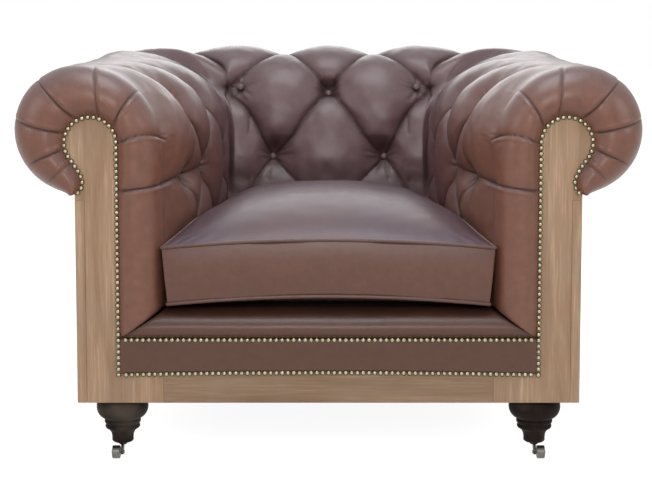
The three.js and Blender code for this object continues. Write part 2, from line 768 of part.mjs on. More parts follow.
// One-sided caster fork: stem and crown, an arm that curves down to the axle's eye.
function casterFork() {
  const forkTop = legFoot - forkDrop;
  const crownBottom = forkTop - forkCrownThickness;
  const crown = turned([
    [0, crownBottom],
    [forkCrownRadius, crownBottom],
    [forkCrownRadius, forkTop],
    [stemRadius, forkTop],
    [stemRadius, legFoot + stemLength],
    [0, legFoot + stemLength],
  ], 16);
  const arm = new THREE.Shape();
  arm.moveTo(forkCrownRadius - 1, forkTop);
  arm.lineTo(forkCrownRadius - 1, crownBottom - 2);
  arm.quadraticCurveTo(3, wheelRadius, -wheelTrail + forkEyeRadius - 1, wheelRadius - 2);
  arm.absarc(-wheelTrail, wheelRadius, forkEyeRadius, -0.4, -Math.PI, true);
  arm.quadraticCurveTo(-wheelTrail - 3, wheelRadius + forkEyeRadius + 2.8, 1 - forkCrownRadius, forkTop);
  const options = { depth: forkThickness, bevelEnabled: false, curveSegments: 6 };
  const plate = new THREE.ExtrudeGeometry(arm, options);
  plate.rotateX(Math.PI / 2).rotateZ(Math.PI / 2).translate(forkInside, 0, 0);
  const eye = new THREE.CylinderGeometry(axleRadius + axleClearance, axleRadius + axleClearance, 40, 16);
  eye.rotateZ(Math.PI / 2).translate(0, -wheelTrail, wheelRadius);
  return fromManifold(toManifold(crown).add(toManifold(plate)).subtract(toManifold(eye)));
}

function casterWheel() {
  const bore = axleRadius + axleClearance;
  const rim = wheelRadius - 2.75;
  const wheel = turned([
    [bore, 0.6],
    [rim - 1, 0.6],
    [rim, 0],
    [wheelRadius - 0.7, 0],
    [wheelRadius, 0.8],
    [wheelRadius, wheelWidth - 0.8],
    [wheelRadius - 0.7, wheelWidth],
    [rim, wheelWidth],
    [rim - 1, wheelWidth - 0.6],
    [bore, wheelWidth - 0.6],
    [bore, 0.6],
  ], 24);
  return wheel.translate(0, 0, -wheelWidth / 2).rotateY(Math.PI / 2);
}

// Axle through fork and wheel, with a flat head inside and a domed cap outside.
function casterAxle() {
  const inside = forkInside - seatGap;
  const outside = wheelOffset + wheelWidth / 2 + seatGap;
  const axle = turned([
    [0, inside - 1.8],
    [axleCapRadius - 0.4, inside - 1.8],
    [axleCapRadius - 0.4, inside],
    [axleRadius, inside],
    [axleRadius, outside],
    [axleCapRadius, outside],
    [axleCapRadius - 0.6, outside + 1.4],
    [0, outside + 1.9],
  ], 12);
  return axle.rotateY(Math.PI / 2);
}

// Covered button: low dome on a cone that reaches into the tuft.
function coveredButton() {
  return turned([
    [0, -buttonShank],
    [1.2, 1.6 - buttonShank],
    [buttonRadius, -0.6],
    [buttonRadius, 0.5],
    [0.72 * buttonRadius, 0.72 * buttonDome],
    [0, buttonDome],
  ], 12);
}

const chair = new THREE.Group();
const leftHalf = new THREE.Group();
leftHalf.scale.x = -1;
const rightHalf = new THREE.Group();
chair.add(leftHalf, rightHalf);

function place(parent, name, geometry, material) {
  const mesh = new THREE.Mesh(geometry, material);
  mesh.name = name;
  parent.add(mesh);
  return mesh;
}

// The same piece on both sides of the chair.
function placePair(name, geometry, material, position = [0, 0, 0]) {
  place(leftHalf, `left_${name}`, geometry, material).position.set(...position);
  place(rightHalf, `right_${name}`, geometry, material).position.set(...position);
}

// A button seated in its tuft, square to the padding.
function seatButton(parent, name, surface, base, facing, [row, column]) {
  const normal = surfaceNormal(base, row, column).multiplyScalar(facing);
  const button = place(parent, name, coveredButton(), leather);
  button.position.copy(surface(row, column)).addScaledVector(normal, buttonShank + seatGap);
  button.quaternion.setFromUnitVectors(new THREE.Vector3(0, 0, 1), normal);
}

function buildFrame() {
  const inner = frameHalfWidth - boardThickness;
  const outer = frameHalfWidth;
  const top = underRoll - seatGap;
  const railLow = underRoll - armRailHeight;
  const postSide = outer - rearPostWidth;
  const postFront = frameRear - rearPostThickness;
  placePair('arm_facing', uprightBoard(facingShape(), 0, facingThickness), faceWood);
  placePair('side_stile', boxBetween([inner, 0, frameBottom], [outer, stileDepth, stileTop]), faceWood);
  const frontRail = boxBetween([-armFaceFront, 0, frameBottom], [armFaceFront, frontRailThickness, railTop]);
  place(chair, 'front_rail', frontRail, faceWood);
  placePair('side_rail', boxBetween([inner, stileDepth, frameBottom], [outer, postFront, railTop]), faceWood);
  placePair('arm_rail', boxBetween([inner, stileDepth, railLow], [outer, postFront, top]), innerWood);
  placePair('rear_post', boxBetween([postSide, postFront, frameBottom], [outer, frameRear, top]), faceWood);
  const backRail = boxBetween([-postSide, postFront, frameBottom], [postSide, frameRear, railTop]);
  place(chair, 'back_rail', backRail, faceWood);
  const topRail = boxBetween([-postSide, postFront, railLow], [postSide, frameRear, top]);
  place(chair, 'back_top_rail', topRail, innerWood);
  const blockSide = inner - cornerBlockWidth;
  const blockRear = facingThickness + cornerBlockDepth;
  const frontBlock = boxBetween([blockSide, facingThickness, frameBottom], [inner, blockRear, railTop]);
  const railRoom = boxBetween([0, 0, 0], [armFaceFront, frontRailThickness, railTop + 1]);
  const fitted = fromManifold(toManifold(frontBlock).subtract(toManifold(railRoom)));
  placePair('front_corner_block', fitted, innerWood);
  const blockFront = postFront - cornerBlockDepth;
  const rearBlock = boxBetween([blockSide, blockFront, frameBottom], [inner, postFront, railTop]);
  placePair('rear_corner_block', rearBlock, innerWood);
}

function buildUpholstery() {
  placePair('arm_upholstery', armPadding(), leather);
  place(chair, 'back_upholstery', backPadding(), leather);
  place(chair, 'seat_border', seatBorder(), leather);
  const low = frameBottom + bandRise;
  const band = boxBetween([-facingInner, -leatherThickness, low], [facingInner, 0, railTop]);
  place(chair, 'front_band', band, leather);
  const top = underRoll - seatGap;
  const outer = frameHalfWidth + panelThickness;
  const rear = frameRear + panelThickness;
  const armPanel = boxBetween([frameHalfWidth, stileDepth, low], [outer, frameRear, top]);
  placePair('outside_arm_panel', armPanel, leather);
  place(chair, 'outside_back_panel', boxBetween([-outer, frameRear, low], [outer, rear, top]), leather);
  armButtons.forEach((where, i) => {
    seatButton(leftHalf, `left_arm_button_${i + 1}`, armSurface, armBase, 1, where);
    seatButton(rightHalf, `right_arm_button_${i + 1}`, armSurface, armBase, 1, where);
  });
  backButtons.forEach((where, i) => {
    seatButton(chair, `back_button_${i + 1}`, backSurface, backBase, -1, where);
  });
}

function buildSeat() {
  place(chair, 'seat_webbing', seatWebbing(), webCloth);
  const deck = seatOutline(borderRear + seatGap, backSeatDepth - seatGap, 2 * seatGap);
  place(chair, 'seat_deck', flatBoard(deck, webbingTop, seatHeight - webbingTop), blackCloth);
  place(chair, 'seat_cushion', seatCushion(), cushionLeather);
  const reach = frameHalfWidth - coverInset;
  const cover = symmetricShape([
    [legSide - coverFrontCut, 6],
    [legSide - coverFrontCut, 2 * legDepth],
    [reach, 2 * legDepth],
    [reach, rearLegDepth - coverRearCut],
    [rearLegSide - coverRearCut, rearLegDepth - coverRearCut],
    [rearLegSide - coverRearCut, frameRear - 8],
  ]);
  place(chair, 'dust_cover', flatBoard(cover, frameBottom - coverThickness, coverThickness), blackCloth);
}

function buildLegs() {
  placePair('front_leg', turnedLeg(), darkWood, [legSide, legDepth, 0]);
  const [topRadius, footRadius] = [rearLegTop / Math.SQRT2, rearLegFoot / Math.SQRT2];
  const rearLeg = new THREE.CylinderGeometry(topRadius, footRadius, frameBottom, 4);
  rearLeg.rotateY(Math.PI / 4).rotateX(Math.PI / 2);
  placePair('rear_leg', closedBody(rearLeg), darkWood, [rearLegSide, rearLegDepth, frameBottom / 2]);
  placePair('caster_socket', casterSocket(), castMetal, [legSide, legDepth, 0]);
  placePair('caster_fork', casterFork(), castMetal, [legSide, legDepth, 0]);
  const axle = [legSide, legDepth - wheelTrail, wheelRadius];
  placePair('caster_axle', casterAxle(), paleMetal, axle);
  placePair('caster_wheel', casterWheel(), paleMetal, [legSide + wheelOffset, axle[1], axle[2]]);
}

buildFrame();
buildUpholstery();
buildSeat();
buildLegs();

// The origin lies on the floor under the middle of the chair.
const whole = new THREE.Box3().setFromObject(chair);
chair.position.y = -(whole.min.y + whole.max.y) / 2;

export default chair;
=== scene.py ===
import math

import bmesh
import bpy
import numpy as np
from mathutils import Matrix, Vector, noise


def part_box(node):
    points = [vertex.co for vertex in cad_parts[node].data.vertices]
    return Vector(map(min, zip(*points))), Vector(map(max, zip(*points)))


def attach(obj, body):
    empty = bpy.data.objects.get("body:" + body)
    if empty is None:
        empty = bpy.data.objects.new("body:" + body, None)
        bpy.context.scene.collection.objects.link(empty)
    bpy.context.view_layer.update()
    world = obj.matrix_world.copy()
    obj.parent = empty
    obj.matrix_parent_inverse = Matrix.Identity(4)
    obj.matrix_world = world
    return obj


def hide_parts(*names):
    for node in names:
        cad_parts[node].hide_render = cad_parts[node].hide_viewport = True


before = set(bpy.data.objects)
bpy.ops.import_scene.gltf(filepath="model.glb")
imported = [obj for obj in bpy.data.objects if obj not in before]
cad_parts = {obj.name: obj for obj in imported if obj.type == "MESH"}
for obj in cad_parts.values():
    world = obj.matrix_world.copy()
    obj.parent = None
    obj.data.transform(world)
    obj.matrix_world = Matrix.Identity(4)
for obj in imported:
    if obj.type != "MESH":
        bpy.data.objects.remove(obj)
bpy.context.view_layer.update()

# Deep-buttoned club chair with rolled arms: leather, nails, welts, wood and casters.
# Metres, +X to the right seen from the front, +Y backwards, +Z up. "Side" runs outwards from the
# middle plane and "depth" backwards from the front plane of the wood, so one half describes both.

scene = bpy.context.scene

# Places read from the frame
facing_low, facing_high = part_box("right_arm_facing")
rail_low, rail_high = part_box("front_rail")
FRONT = rail_low.y
FRAME_BOTTOM = rail_low.z
RAIL_TOP = rail_high.z
FRAME_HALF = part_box("right_side_rail")[1].x
FRAME_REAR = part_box("back_rail")[1].y - FRONT
SEAT_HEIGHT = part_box("seat_deck")[1].z
SEAT_GAP = 0.0003
UNDER_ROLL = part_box("right_rear_post")[1].z + SEAT_GAP
LEG_CENTRE = (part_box("right_front_leg")[0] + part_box("right_front_leg")[1]) / 2

# Keyhole head of the arm facings
HEAD_RADIUS = 0.050
HEAD_SIDE = facing_high.x - HEAD_RADIUS
HEAD_HEIGHT = facing_high.z - HEAD_RADIUS
FACING_INNER = HEAD_SIDE - HEAD_RADIUS
FACING_THICKNESS = facing_high.y - facing_low.y
NECK_ROW = -3.32
NECK_TOP_ANGLE = -35
NECK_INSET = 0.0236
NECK_DROP = 0.075
NECK_REACH = 0.030

# Rolled arms and back
ROLL_SWEEP = 172
SWEEP_SHARE = 1 - math.cos(math.radians(ROLL_SWEEP))
ARM_ROLL = 0.117
ARM_TOP = UNDER_ROLL + ARM_ROLL * SWEEP_SHARE
ARM_CREST = FRAME_HALF - 0.0036
ARM_FACE = facing_low.x
ARM_TAPER = 0.081
ARM_TAPER_POWER = 1.6
ARM_FRONT_EDGE = 0.040
BACK_RISE = 0.007
BACK_TOP = ARM_TOP + BACK_RISE
BACK_ROLL = ARM_ROLL + BACK_RISE / SWEEP_SHARE
BACK_CREST = FRAME_REAR - 0.0036
BACK_FACE = BACK_CREST - 0.155
BACK_SEAT = BACK_FACE - 0.045
BACK_SLAB = BACK_FACE + 0.055
ARM_SLAB = FACING_INNER + 0.0036
SHOULDER_HEIGHT = ARM_TOP - 0.172
SHOULDER_DROP = 0.070
CROWN_REACH = 0.6

# Button pattern: rows count down the face from the top buttons, columns run along it
ROW_HEIGHT = 0.130
SHOULDER_ROW = 0.65
LAST_ROW = SHOULDER_ROW + (SHOULDER_HEIGHT - SEAT_HEIGHT) / ROW_HEIGHT
FIRST_ROW = -3.7
CREST_ROW = -1
CORNER_COLUMN = 4
ARM_LAST_COLUMN = 3
ARM_FIRST_BUTTON = 0.250
ARM_COLUMN = (BACK_FACE - ARM_FIRST_BUTTON) / CORNER_COLUMN
BACK_COLUMN = 0.1125
BACK_COLUMN_SPREAD = 0.0115
BORDER_COLUMN = (ARM_FRONT_EDGE - ARM_FIRST_BUTTON) / ARM_COLUMN
BORDER_LENGTH = 1
CELL = 0.0235
SECTION_POINTS = 300

# Depth and fullness of the tufting
BACK_TUFT = 0.026
ARM_TUFT = 0.022
TUFT_MEAN = 0.45
FULLNESS = 0.42
CORNER_FILL = 0.42
BUTTON_PIT = 0.018
PIT_RADIUS = 0.032
BUTTON_LIFT = 0.007
CREASE_DEPTH = 0.0045
CREASE_WIDTH = 0.10
LOW_TUFT = 0.45

# Gathers round the buttons, loose folds, seams, and the hollows at the back's buttons
GATHER_DEPTH = 0.0010
GATHER_RING = 0.021
GATHER_WIDTH = 0.012
FOLD_WIDTH = 0.006
ARM_FOLD_DEPTH = 0.0045
BACK_FOLD_DEPTH = 0.0035
MITRE_DEPTH = 0.003
MITRE_WIDTH = 0.006
MITRE_ROWS = 0.05
RECESS_REACH = 0.019
RECESS_DEPTH = 0.013
POCKET_ROW = 0.84
POCKET_RADIUS = 0.022
POCKET_DEPTH = 0.008

# Painted shade in the folds, and the hide's own unevenness
FOLD_SHADE_WIDTH = 0.0035
BUTTON_SHADE_RADIUS = 0.014
UNEVEN_DEPTH = 0.0010
UNEVEN_SCALE = 0.028

# Padded front border
BORDER_RISE = 0.022
BORDER_START = -48
BORDER_SHOULDER = 0.35
BORDER_BOTTOM = RAIL_TOP + 0.003 + SEAT_GAP
SIDE_ROW = 0.25
LAP = 0.005
HAIR = 0.0001
LEATHER = 0.0016

# Pleats round the facing: the crease, the valley on both sides of it and the lip along one
PLEAT_WIDTH = 0.0015
PLEAT_DEPTH = 0.0036
VALLEY_WIDTH = 0.011
VALLEY_DEPTH = 0.0014
LIP_PLACE = 0.007
LIP_WIDTH = 0.004
LIP_HEIGHT = 0.0012

# Row of each pleat at the facing, rows drifted across the border, share crossed, strength
PLEATS = (
    (-3.36, 0.02, 0.70, 0.8),
    (-2.93, -0.05, 0.85, 1.0),
    (-2.30, 0.05, 1.00, 1.0),
    (-1.60, 0.00, 1.10, 1.0),
    (-0.75, -0.06, 1.15, 0.8),
    (-0.25, 0.06, 1.00, 1.1),
    (0.25, 0.18, 1.20, 1.1),
    (1.00, 0.00, 1.50, 1.2),
)

# Buttons as (row, column), the tuck at the front of the arm, and loose folds between them
ARM_BUTTONS = ((0, 0), (0, 2), (1, 1), (1, 3))
ARM_TUCKS = (*ARM_BUTTONS, (1, -0.66))
ARM_FOLDS = (
    ((0.96, -0.62), (0.55, -0.33), (0.12, -0.06)),
    ((0.98, -0.6), (0.93, 0.1), (0.98, 0.9)),
    ((1.06, -0.7), (1.3, -0.35), (1.52, -0.12)),
    ((1.0, -2.2), (0.97, -1.4), (1.0, -0.75)),
)
BACK_BUTTONS = ((0, 0), (0, -1.75), (0, 1.75), (1, -1), (1, 1))
BACK_FOLDS = (
    ((1.12, 1.03), (1.38, 1.10)),
    ((1.10, 0.94), (1.30, 0.80)),
    ((0.42, 1.62), (0.62, 1.66)),
    ((1.42, 1.62), (1.60, 1.55)),
)

# Loose cushion
CUSHION_OVERHANG = 0.006
CUSHION_SPREAD = 0.004
CUSHION_TUCK = 0.010
CUSHION_HEIGHT = 0.114
CUSHION_EDGE_RISE = 0.010
CUSHION_EDGE_ROLL = 0.012
CUSHION_SQUEEZE = 0.025
CUSHION_PINCH = 0.007
CUSHION_CROWN = 0.041
CUSHION_CORNER = 0.003
CUSHION_ARCH = 0.015
CUSHION_BELLY = 0.006
CUSHION_GAP = 0.004
WELT_RADIUS = 0.0036

# Turned front legs
LEG_TOP = 0.040
BUN_RADIUS = 0.048
BUN_FOOT = 0.0317
UPPER_RING = 0.0335
LOWER_RING = 0.0324
WAIST = 0.0305
ANKLE = 0.020
FOOT_ROUNDING = 0.0025

# Heights on the legs, as shares from their foot to their top
BUN_TOP_HANDLE = 0.91
BUN_LOW_HANDLE = 0.6
BUN_FOOT_PLACE = 0.521
UPPER_RING_PLACE = 0.468
WAIST_PLACE = 0.398
LOWER_RING_PLACE = 0.35
COVE_PLACE = 0.309
TAPER_HANDLE = 0.25
TAPER_END = 0.1
FOOT_EDGE = 0.03

# Rounding of the edges of wood and of metal
WOOD_ROUNDING = 0.0012
METAL_ROUNDING = 0.0004

# Nails
NAIL_PITCH = 0.0106
NAIL_RADIUS = 0.0047
NAIL_INSET = 0.0030
BAND_NAIL_DROP = 0.002
HEM_NAIL_RISE = 0.007
OUTSIDE_PANELS = (
    ("left_outside_arm_panel", 0), ("right_outside_arm_panel", 0), ("outside_back_panel", 1),
)


def lerp(start, end, share):
    return start + (end - start) * share


def smooth(low, high, value):
    t = np.clip((np.asarray(value, float) - low) / (high - low), 0, 1)
    return t * t * (3 - 2 * t)


def bell(value, width):
    """1 at 0, fading roundly to both sides."""
    return np.exp(-((value / width) ** 2))


def ridge(value, width):
    """1 at 0, fading sharply to both sides."""
    return np.exp(-np.abs(value) / width)


def bezier(t, a, b, c, d):
    return a * (1 - t) ** 3 + 3 * b * t * (1 - t) ** 2 + 3 * c * t * t * (1 - t) + d * t ** 3


# Padding of arms and back

def rolled_section(row, crest, top, radius, face, seat):
    """Reach outwards from the sitter, and height, of a rolled section at a row."""
    angle = np.radians(90 - (CREST_ROW - row) * ROLL_SWEEP / (CREST_ROW - FIRST_ROW))
    t = np.clip((row - CREST_ROW) / (SHOULDER_ROW - CREST_ROW), 0, 1)
    rise = top - SHOULDER_DROP - SHOULDER_HEIGHT
    lean = (face - seat) / (SHOULDER_HEIGHT - SEAT_HEIGHT)
    shoulder_reach = bezier(t, crest, lerp(crest, face, CROWN_REACH), face + lean * rise, face)
    shoulder_height = bezier(t, top, top, SHOULDER_HEIGHT + rise, SHOULDER_HEIGHT)
    face_height = SHOULDER_HEIGHT - (row - SHOULDER_ROW) * ROW_HEIGHT
    face_reach = face - lean * (SHOULDER_HEIGHT - face_height)
    where = [row <= CREST_ROW, row >= SHOULDER_ROW]
    reach = np.select(where, [crest + radius * np.cos(angle), face_reach], shoulder_reach)
    height = np.select(where, [top - radius + radius * np.sin(angle), face_height], shoulder_height)
    return reach, height


def arm_face(depth):
    share = np.clip((depth - ARM_FRONT_EDGE) / (BACK_FACE - ARM_FRONT_EDGE), 0, 1)
    return ARM_FACE - ARM_TAPER * (1 - (1 - share) ** ARM_TAPER_POWER)


def arm_section(row, depth):
    face = arm_face(depth)
    return rolled_section(row, ARM_CREST, ARM_TOP, ARM_ROLL, face, face)


def back_section(row):
    return rolled_section(row, BACK_CREST, BACK_TOP, BACK_ROLL, BACK_FACE, BACK_SEAT)


def keyhole(row, grow=0.0):
    """Side and height of the facing's outline where a row of the border meets it."""
    row = np.asarray(row, float)
    radius = HEAD_RADIUS + grow
    angle = np.radians(np.where(
        row < CREST_ROW,
        lerp(NECK_TOP_ANGLE, 90, (row - NECK_ROW) / (CREST_ROW - NECK_ROW)),
        lerp(90, 180, (row - CREST_ROW) / (SIDE_ROW - CREST_ROW)),
    ))
    top = math.radians(NECK_TOP_ANGLE)
    start = (HEAD_SIDE + radius * math.cos(top), HEAD_HEIGHT + radius * math.sin(top))
    leave = (start[0] + NECK_REACH * math.sin(top), start[1] - NECK_REACH * math.cos(top))
    arrive = (FRAME_HALF - NECK_INSET + grow, HEAD_HEIGHT - NECK_DROP)
    end = (FRAME_HALF + grow, UNDER_ROLL)
    t = np.clip((NECK_ROW - row) / (NECK_ROW - FIRST_ROW), 0, 1)
    neck_side, neck_height = [bezier(t, *values) for values in zip(start, leave, arrive, end)]
    share = (row - SIDE_ROW) / (LAST_ROW - SIDE_ROW)
    fall = (HEAD_HEIGHT - BORDER_BOTTOM) * (0.72 * share + 0.28 * share * share)
    where = [row < NECK_ROW, row >= SIDE_ROW]
    side = np.select(where, [neck_side, FACING_INNER - grow], HEAD_SIDE + radius * np.cos(angle))
    height = np.select(where, [neck_height, HEAD_HEIGHT - fall], HEAD_HEIGHT + radius * np.sin(angle))
    return side, height


def border_profile(step):
    """Share of the padded border's width, and depth, from the facing round to the arm."""
    angle = lerp(BORDER_START, 90, step)
    reach = np.sin(np.radians(angle))
    start = math.sin(math.radians(BORDER_START))
    inner = BORDER_SHOULDER * (1 - reach / start)
    outer = BORDER_SHOULDER + (1 - BORDER_SHOULDER) * reach
    depth = ARM_FRONT_EDGE - (ARM_FRONT_EDGE + BORDER_RISE) * np.cos(np.radians(angle))
    return np.where(angle < 0, inner, outer), depth


def arm_base(row, column):
    """Padding of the right arm without its tufting, as side, depth and height."""
    row, column = np.broadcast_arrays(np.asarray(row, float), np.asarray(column, float))
    share, border_depth = border_profile(1 + (column - BORDER_COLUMN) / BORDER_LENGTH)
    front_side, front_height = arm_section(row, ARM_FRONT_EDGE)
    inner_side, inner_height = keyhole(row)
    side = lerp(inner_side, front_side, share)
    border = [side, border_depth, lerp(inner_height, front_height, share)]
    nominal = ARM_FIRST_BUTTON + ARM_COLUMN * column
    side, height = arm_section(row, nominal)
    corner_depth, corner_height = back_section(row)
    last = ARM_FIRST_BUTTON + ARM_COLUMN * ARM_LAST_COLUMN
    past = column - ARM_LAST_COLUMN
    depth = np.where(past <= 0, nominal, lerp(last, corner_depth, past))
    height = lerp(height, corner_height, smooth(1.5, CORNER_COLUMN, column))
    body = [side, depth, height]
    return np.stack([np.where(column < BORDER_COLUMN, a, b) for a, b in zip(border, body)], -1)


def back_base(row, column):
    """Padding of the back without its tufting. Columns fan out from the buttons to the corner."""
    row, column = np.broadcast_arrays(np.asarray(row, float), np.asarray(column, float))
    depth, height = back_section(row)
    corner = arm_base(row, CORNER_COLUMN)[..., 0]
    step = BACK_COLUMN + BACK_COLUMN_SPREAD * np.clip(row, -1.2, 1.2)
    second = np.minimum(2 * step, 0.93 * corner)
    place = np.abs(column)
    side = np.select(
        [place > 2, place > 1],
        [lerp(second, corner, (place - 2) / (CORNER_COLUMN - 2)), lerp(step, second, place - 1)],
        place * step,
    )
    return np.stack([np.sign(column) * side, depth, height], -1)


# Tufting

def crease(value):
    return np.abs(np.sin(np.pi * value / 2))


def puff(value):
    return np.clip(value, 0, 1) ** (2 * FULLNESS)


def diamond(row, column):
    """Pillow between the diagonal pleats, from 0 in a pleat to 1 on the crown."""
    return (crease(column - row) * crease(column + row)) ** FULLNESS


def even_out(value, column):
    """Evens the tufting out towards the corner, where arm and back meet."""
    return lerp(value, CORNER_FILL, smooth(3.4, CORNER_COLUMN, column))


def arm_pillow(row, column):
    past = column - np.maximum(row, CREST_ROW)
    late = np.sin(np.pi / 2 * np.clip(past - 4, 0, 1))
    top = even_out(puff(np.where(past > 4, late, crease(past))), column)
    ahead = 1 - np.abs(row - 1) - column
    fold = 0.45 * bell(row - 1, 0.16)
    front = puff(np.sin(np.pi / 2 * np.clip(ahead, 0, 1))) * (1 - fold)
    face = even_out(diamond(row, column), column)
    where = [(row < 0) & (past < -1), row < 0, (ahead > 0) & (row < 2)]
    return np.select(where, [np.ones_like(past), top, front], face)


def back_pillow(row, column):
    place = np.abs(column)
    level = np.maximum(row, CREST_ROW)
    middle = diamond(level, np.minimum(place, 2))
    inner = lerp(middle, CORNER_FILL, smooth(2, CORNER_COLUMN, place))
    past = place + level - 2
    crown = np.where(past > 0, puff(np.sin(np.pi / 2 * np.clip(past, 0, 1))), diamond(level, place))
    outer = lerp(inner, even_out(crown, place), smooth(0, 0.5, -row))
    return np.where((row >= 0) | (place <= 2), inner, outer)


def trench(pillow):
    """The narrow groove in which the leather is tucked along a crease."""
    return CREASE_DEPTH * ridge(pillow, CREASE_WIDTH)


def away_from(row, column, button):
    return np.hypot((column - button[1]) * ARM_COLUMN, (row - button[0]) * ROW_HEIGHT)


def pits(row, column, tucks):
    """Hollows round the buttons, with the small gathers that run into them."""
    depth = 0
    for tuck in tucks:
        away = away_from(row, column, tuck)
        turn = np.arctan2((row - tuck[0]) * ROW_HEIGHT, (column - tuck[1]) * ARM_COLUMN)
        gather = np.cos(9 * turn) + 0.6 * np.cos(14 * turn + 2)
        gather = GATHER_DEPTH * gather * bell(away - GATHER_RING, GATHER_WIDTH)
        depth = depth + BUTTON_PIT * bell(away, PIT_RADIUS) + gather
    return depth


def strand(row, column, points, width):
    """Nearness to a line through (row, column) points, from 0 to 1."""
    x, y = column * ARM_COLUMN, row * ROW_HEIGHT
    nearest = np.full(np.broadcast(x, y).shape, 1.0)
    for (row_a, column_a), (row_b, column_b) in zip(points, points[1:]):
        start_x, start_y = column_a * ARM_COLUMN, row_a * ROW_HEIGHT
        run_x, run_y = column_b * ARM_COLUMN - start_x, row_b * ROW_HEIGHT - start_y
        along = ((x - start_x) * run_x + (y - start_y) * run_y) / (run_x ** 2 + run_y ** 2)
        along = np.clip(along, 0, 1)
        gap = np.hypot(x - start_x - run_x * along, y - start_y - run_y * along)
        nearest = np.minimum(nearest, gap)
    return np.exp(-nearest / width)


def loose_folds(row, column, folds, width):
    return np.max([strand(row, column, points, width) for points in folds], axis=0)


def face_mask(row, first, full):
    """Fades the relief in below the roll's rear and out behind the cushion."""
    return smooth(first, full, row) * (1 - smooth(1.5, 1.95, row))


def row_length(row, column):
    """Length along the section that one row takes up on the arm."""
    step = 0.02
    across = arm_base(row + step, column) - arm_base(row - step, column)
    return np.linalg.norm(across, axis=-1) / (2 * step)


def border_pleats(row, column):
    """Depth of the radial pleats round the facing, and the painted shade along them from 0 to 1."""
    crossed = (column - BORDER_COLUMN) / BORDER_LENGTH + 1
    length = row_length(row, column)
    depth, dark = np.zeros_like(length), np.zeros_like(length)
    for pleat, drift, reach, strength in PLEATS:
        line = pleat + drift * smooth(0, 1, crossed) * np.clip(crossed, 0, 1.6)
        away = (row - line) * length
        along = smooth(-0.05, 0.12, crossed) * (1 - smooth(reach - 0.35, reach + 0.12, crossed))
        along = along * strength
        sharp = ridge(away, PLEAT_WIDTH)
        hollow = PLEAT_DEPTH * sharp + VALLEY_DEPTH * bell(away, VALLEY_WIDTH)
        depth = depth + along * (hollow - LIP_HEIGHT * bell(away - LIP_PLACE, LIP_WIDTH))
        dark = np.maximum(dark, 0.8 * along * sharp)
    return depth, np.clip(dark, 0, 1)


def arm_relief(row, column):
    corner = smooth(3, CORNER_COLUMN, column)
    front = smooth(BORDER_COLUMN, -1.1, column) * face_mask(row, -1.1, -0.3)
    mask = lerp(front, face_mask(row, -2, -1.1), corner)
    tuft = lerp(ARM_TUFT, BACK_TUFT, corner)
    pillow = arm_pillow(row, column)
    relief = mask * (tuft * (pillow - TUFT_MEAN) - trench(pillow))
    relief = relief - pits(row, column, ARM_TUCKS) - border_pleats(row, column)[0]
    relief = relief - ARM_FOLD_DEPTH * loose_folds(row, column, ARM_FOLDS, FOLD_WIDTH)
    return relief - MITRE_DEPTH * ridge(LAST_ROW - row, MITRE_ROWS) * (column < BORDER_COLUMN)


def centre_recess(row, column):
    """The square hollow in which the middle button of the back sits."""
    reach = np.maximum(np.abs(column) * BACK_COLUMN, np.abs(row) * ROW_HEIGHT)
    return np.exp(-((reach / RECESS_REACH) ** 6))


def pocket(row, column):
    """The shaded hollow above each lower button of the back."""
    return sum(bell(away_from(row, column, (POCKET_ROW, place)), POCKET_RADIUS) for place in (-1, 1))


def back_relief(row, column):
    hollow = pits(row, column, BACK_BUTTONS) + RECESS_DEPTH * centre_recess(row, column)
    hollow = hollow + POCKET_DEPTH * pocket(row, column)
    hollow = hollow + BACK_FOLD_DEPTH * loose_folds(row, np.abs(column), BACK_FOLDS, FOLD_WIDTH)
    hollow = hollow * (1 - smooth(3, CORNER_COLUMN, np.abs(column)))
    pillow = back_pillow(row, column)
    tuft = lerp(1, LOW_TUFT, smooth(1.0, 1.5, row)) * BACK_TUFT
    return face_mask(row, -2, -1.1) * (tuft * (pillow - TUFT_MEAN) - trench(pillow)) - hollow


def surface_normal(base, row, column):
    """Across the section and along the piece: out of an arm, and into the back."""
    step = 0.02
    along = base(row, column + step) - base(row, column - step)
    across = base(row + step, column) - base(row - step, column)
    normal = np.cross(along, across)
    return normal / np.linalg.norm(normal, axis=-1, keepdims=True)


def arm_surface(row, column):
    relief = arm_relief(row, column)[..., None]
    return arm_base(row, column) + surface_normal(arm_base, row, column) * relief


def back_surface(row, column):
    relief = back_relief(row, column)[..., None]
    return back_base(row, column) - surface_normal(back_base, row, column) * relief


def corner_surface(row):
    """The line on which arm and back meet, halfway between their own edges."""
    column = np.full_like(row, CORNER_COLUMN)
    return lerp(arm_surface(row, column), back_surface(row, column), 0.5)


# Meshes

def in_scene(name, data):
    """A new object of the scene."""
    made = bpy.data.objects.new(name, data)
    scene.collection.objects.link(made)
    return made


def vertex_places(made):
    return np.array([vertex.co for vertex in made.data.vertices])


def move_vertices(made, places):
    made.data.vertices.foreach_set("co", places.ravel())


def piece(name, points, faces):
    """A smooth-shaded mesh object with its faces turned outwards."""
    mesh = bpy.data.meshes.new(name)
    mesh.from_pydata(np.asarray(points, float).reshape(-1, 3).tolist(), [], faces)
    body = bmesh.new()
    body.from_mesh(mesh)
    if body.calc_volume(signed=True) < 0:
        bmesh.ops.reverse_faces(body, faces=body.faces)
    body.to_mesh(mesh)
    body.free()
    mesh.polygons.foreach_set("use_smooth", [True] * len(mesh.polygons))
    return in_scene(name, mesh)


def loft_faces(rings, count):
    """Quads between rings of equal length, with both ends capped."""
    faces = []
    for first in range(0, (rings - 1) * count, count):
        for k in range(count):
            after = (k + 1) % count
            faces.append((first + k, first + after, first + count + after, first + count + k))
    return [*faces, tuple(range(count)), tuple(range((rings - 1) * count, rings * count))]


def in_frame(points):
    """Side, depth and height, as points of the frame."""
    return np.asarray(points) + np.array([0, FRONT, 0])


def mirrored(points):
    return points * np.array([-1, 1, 1])


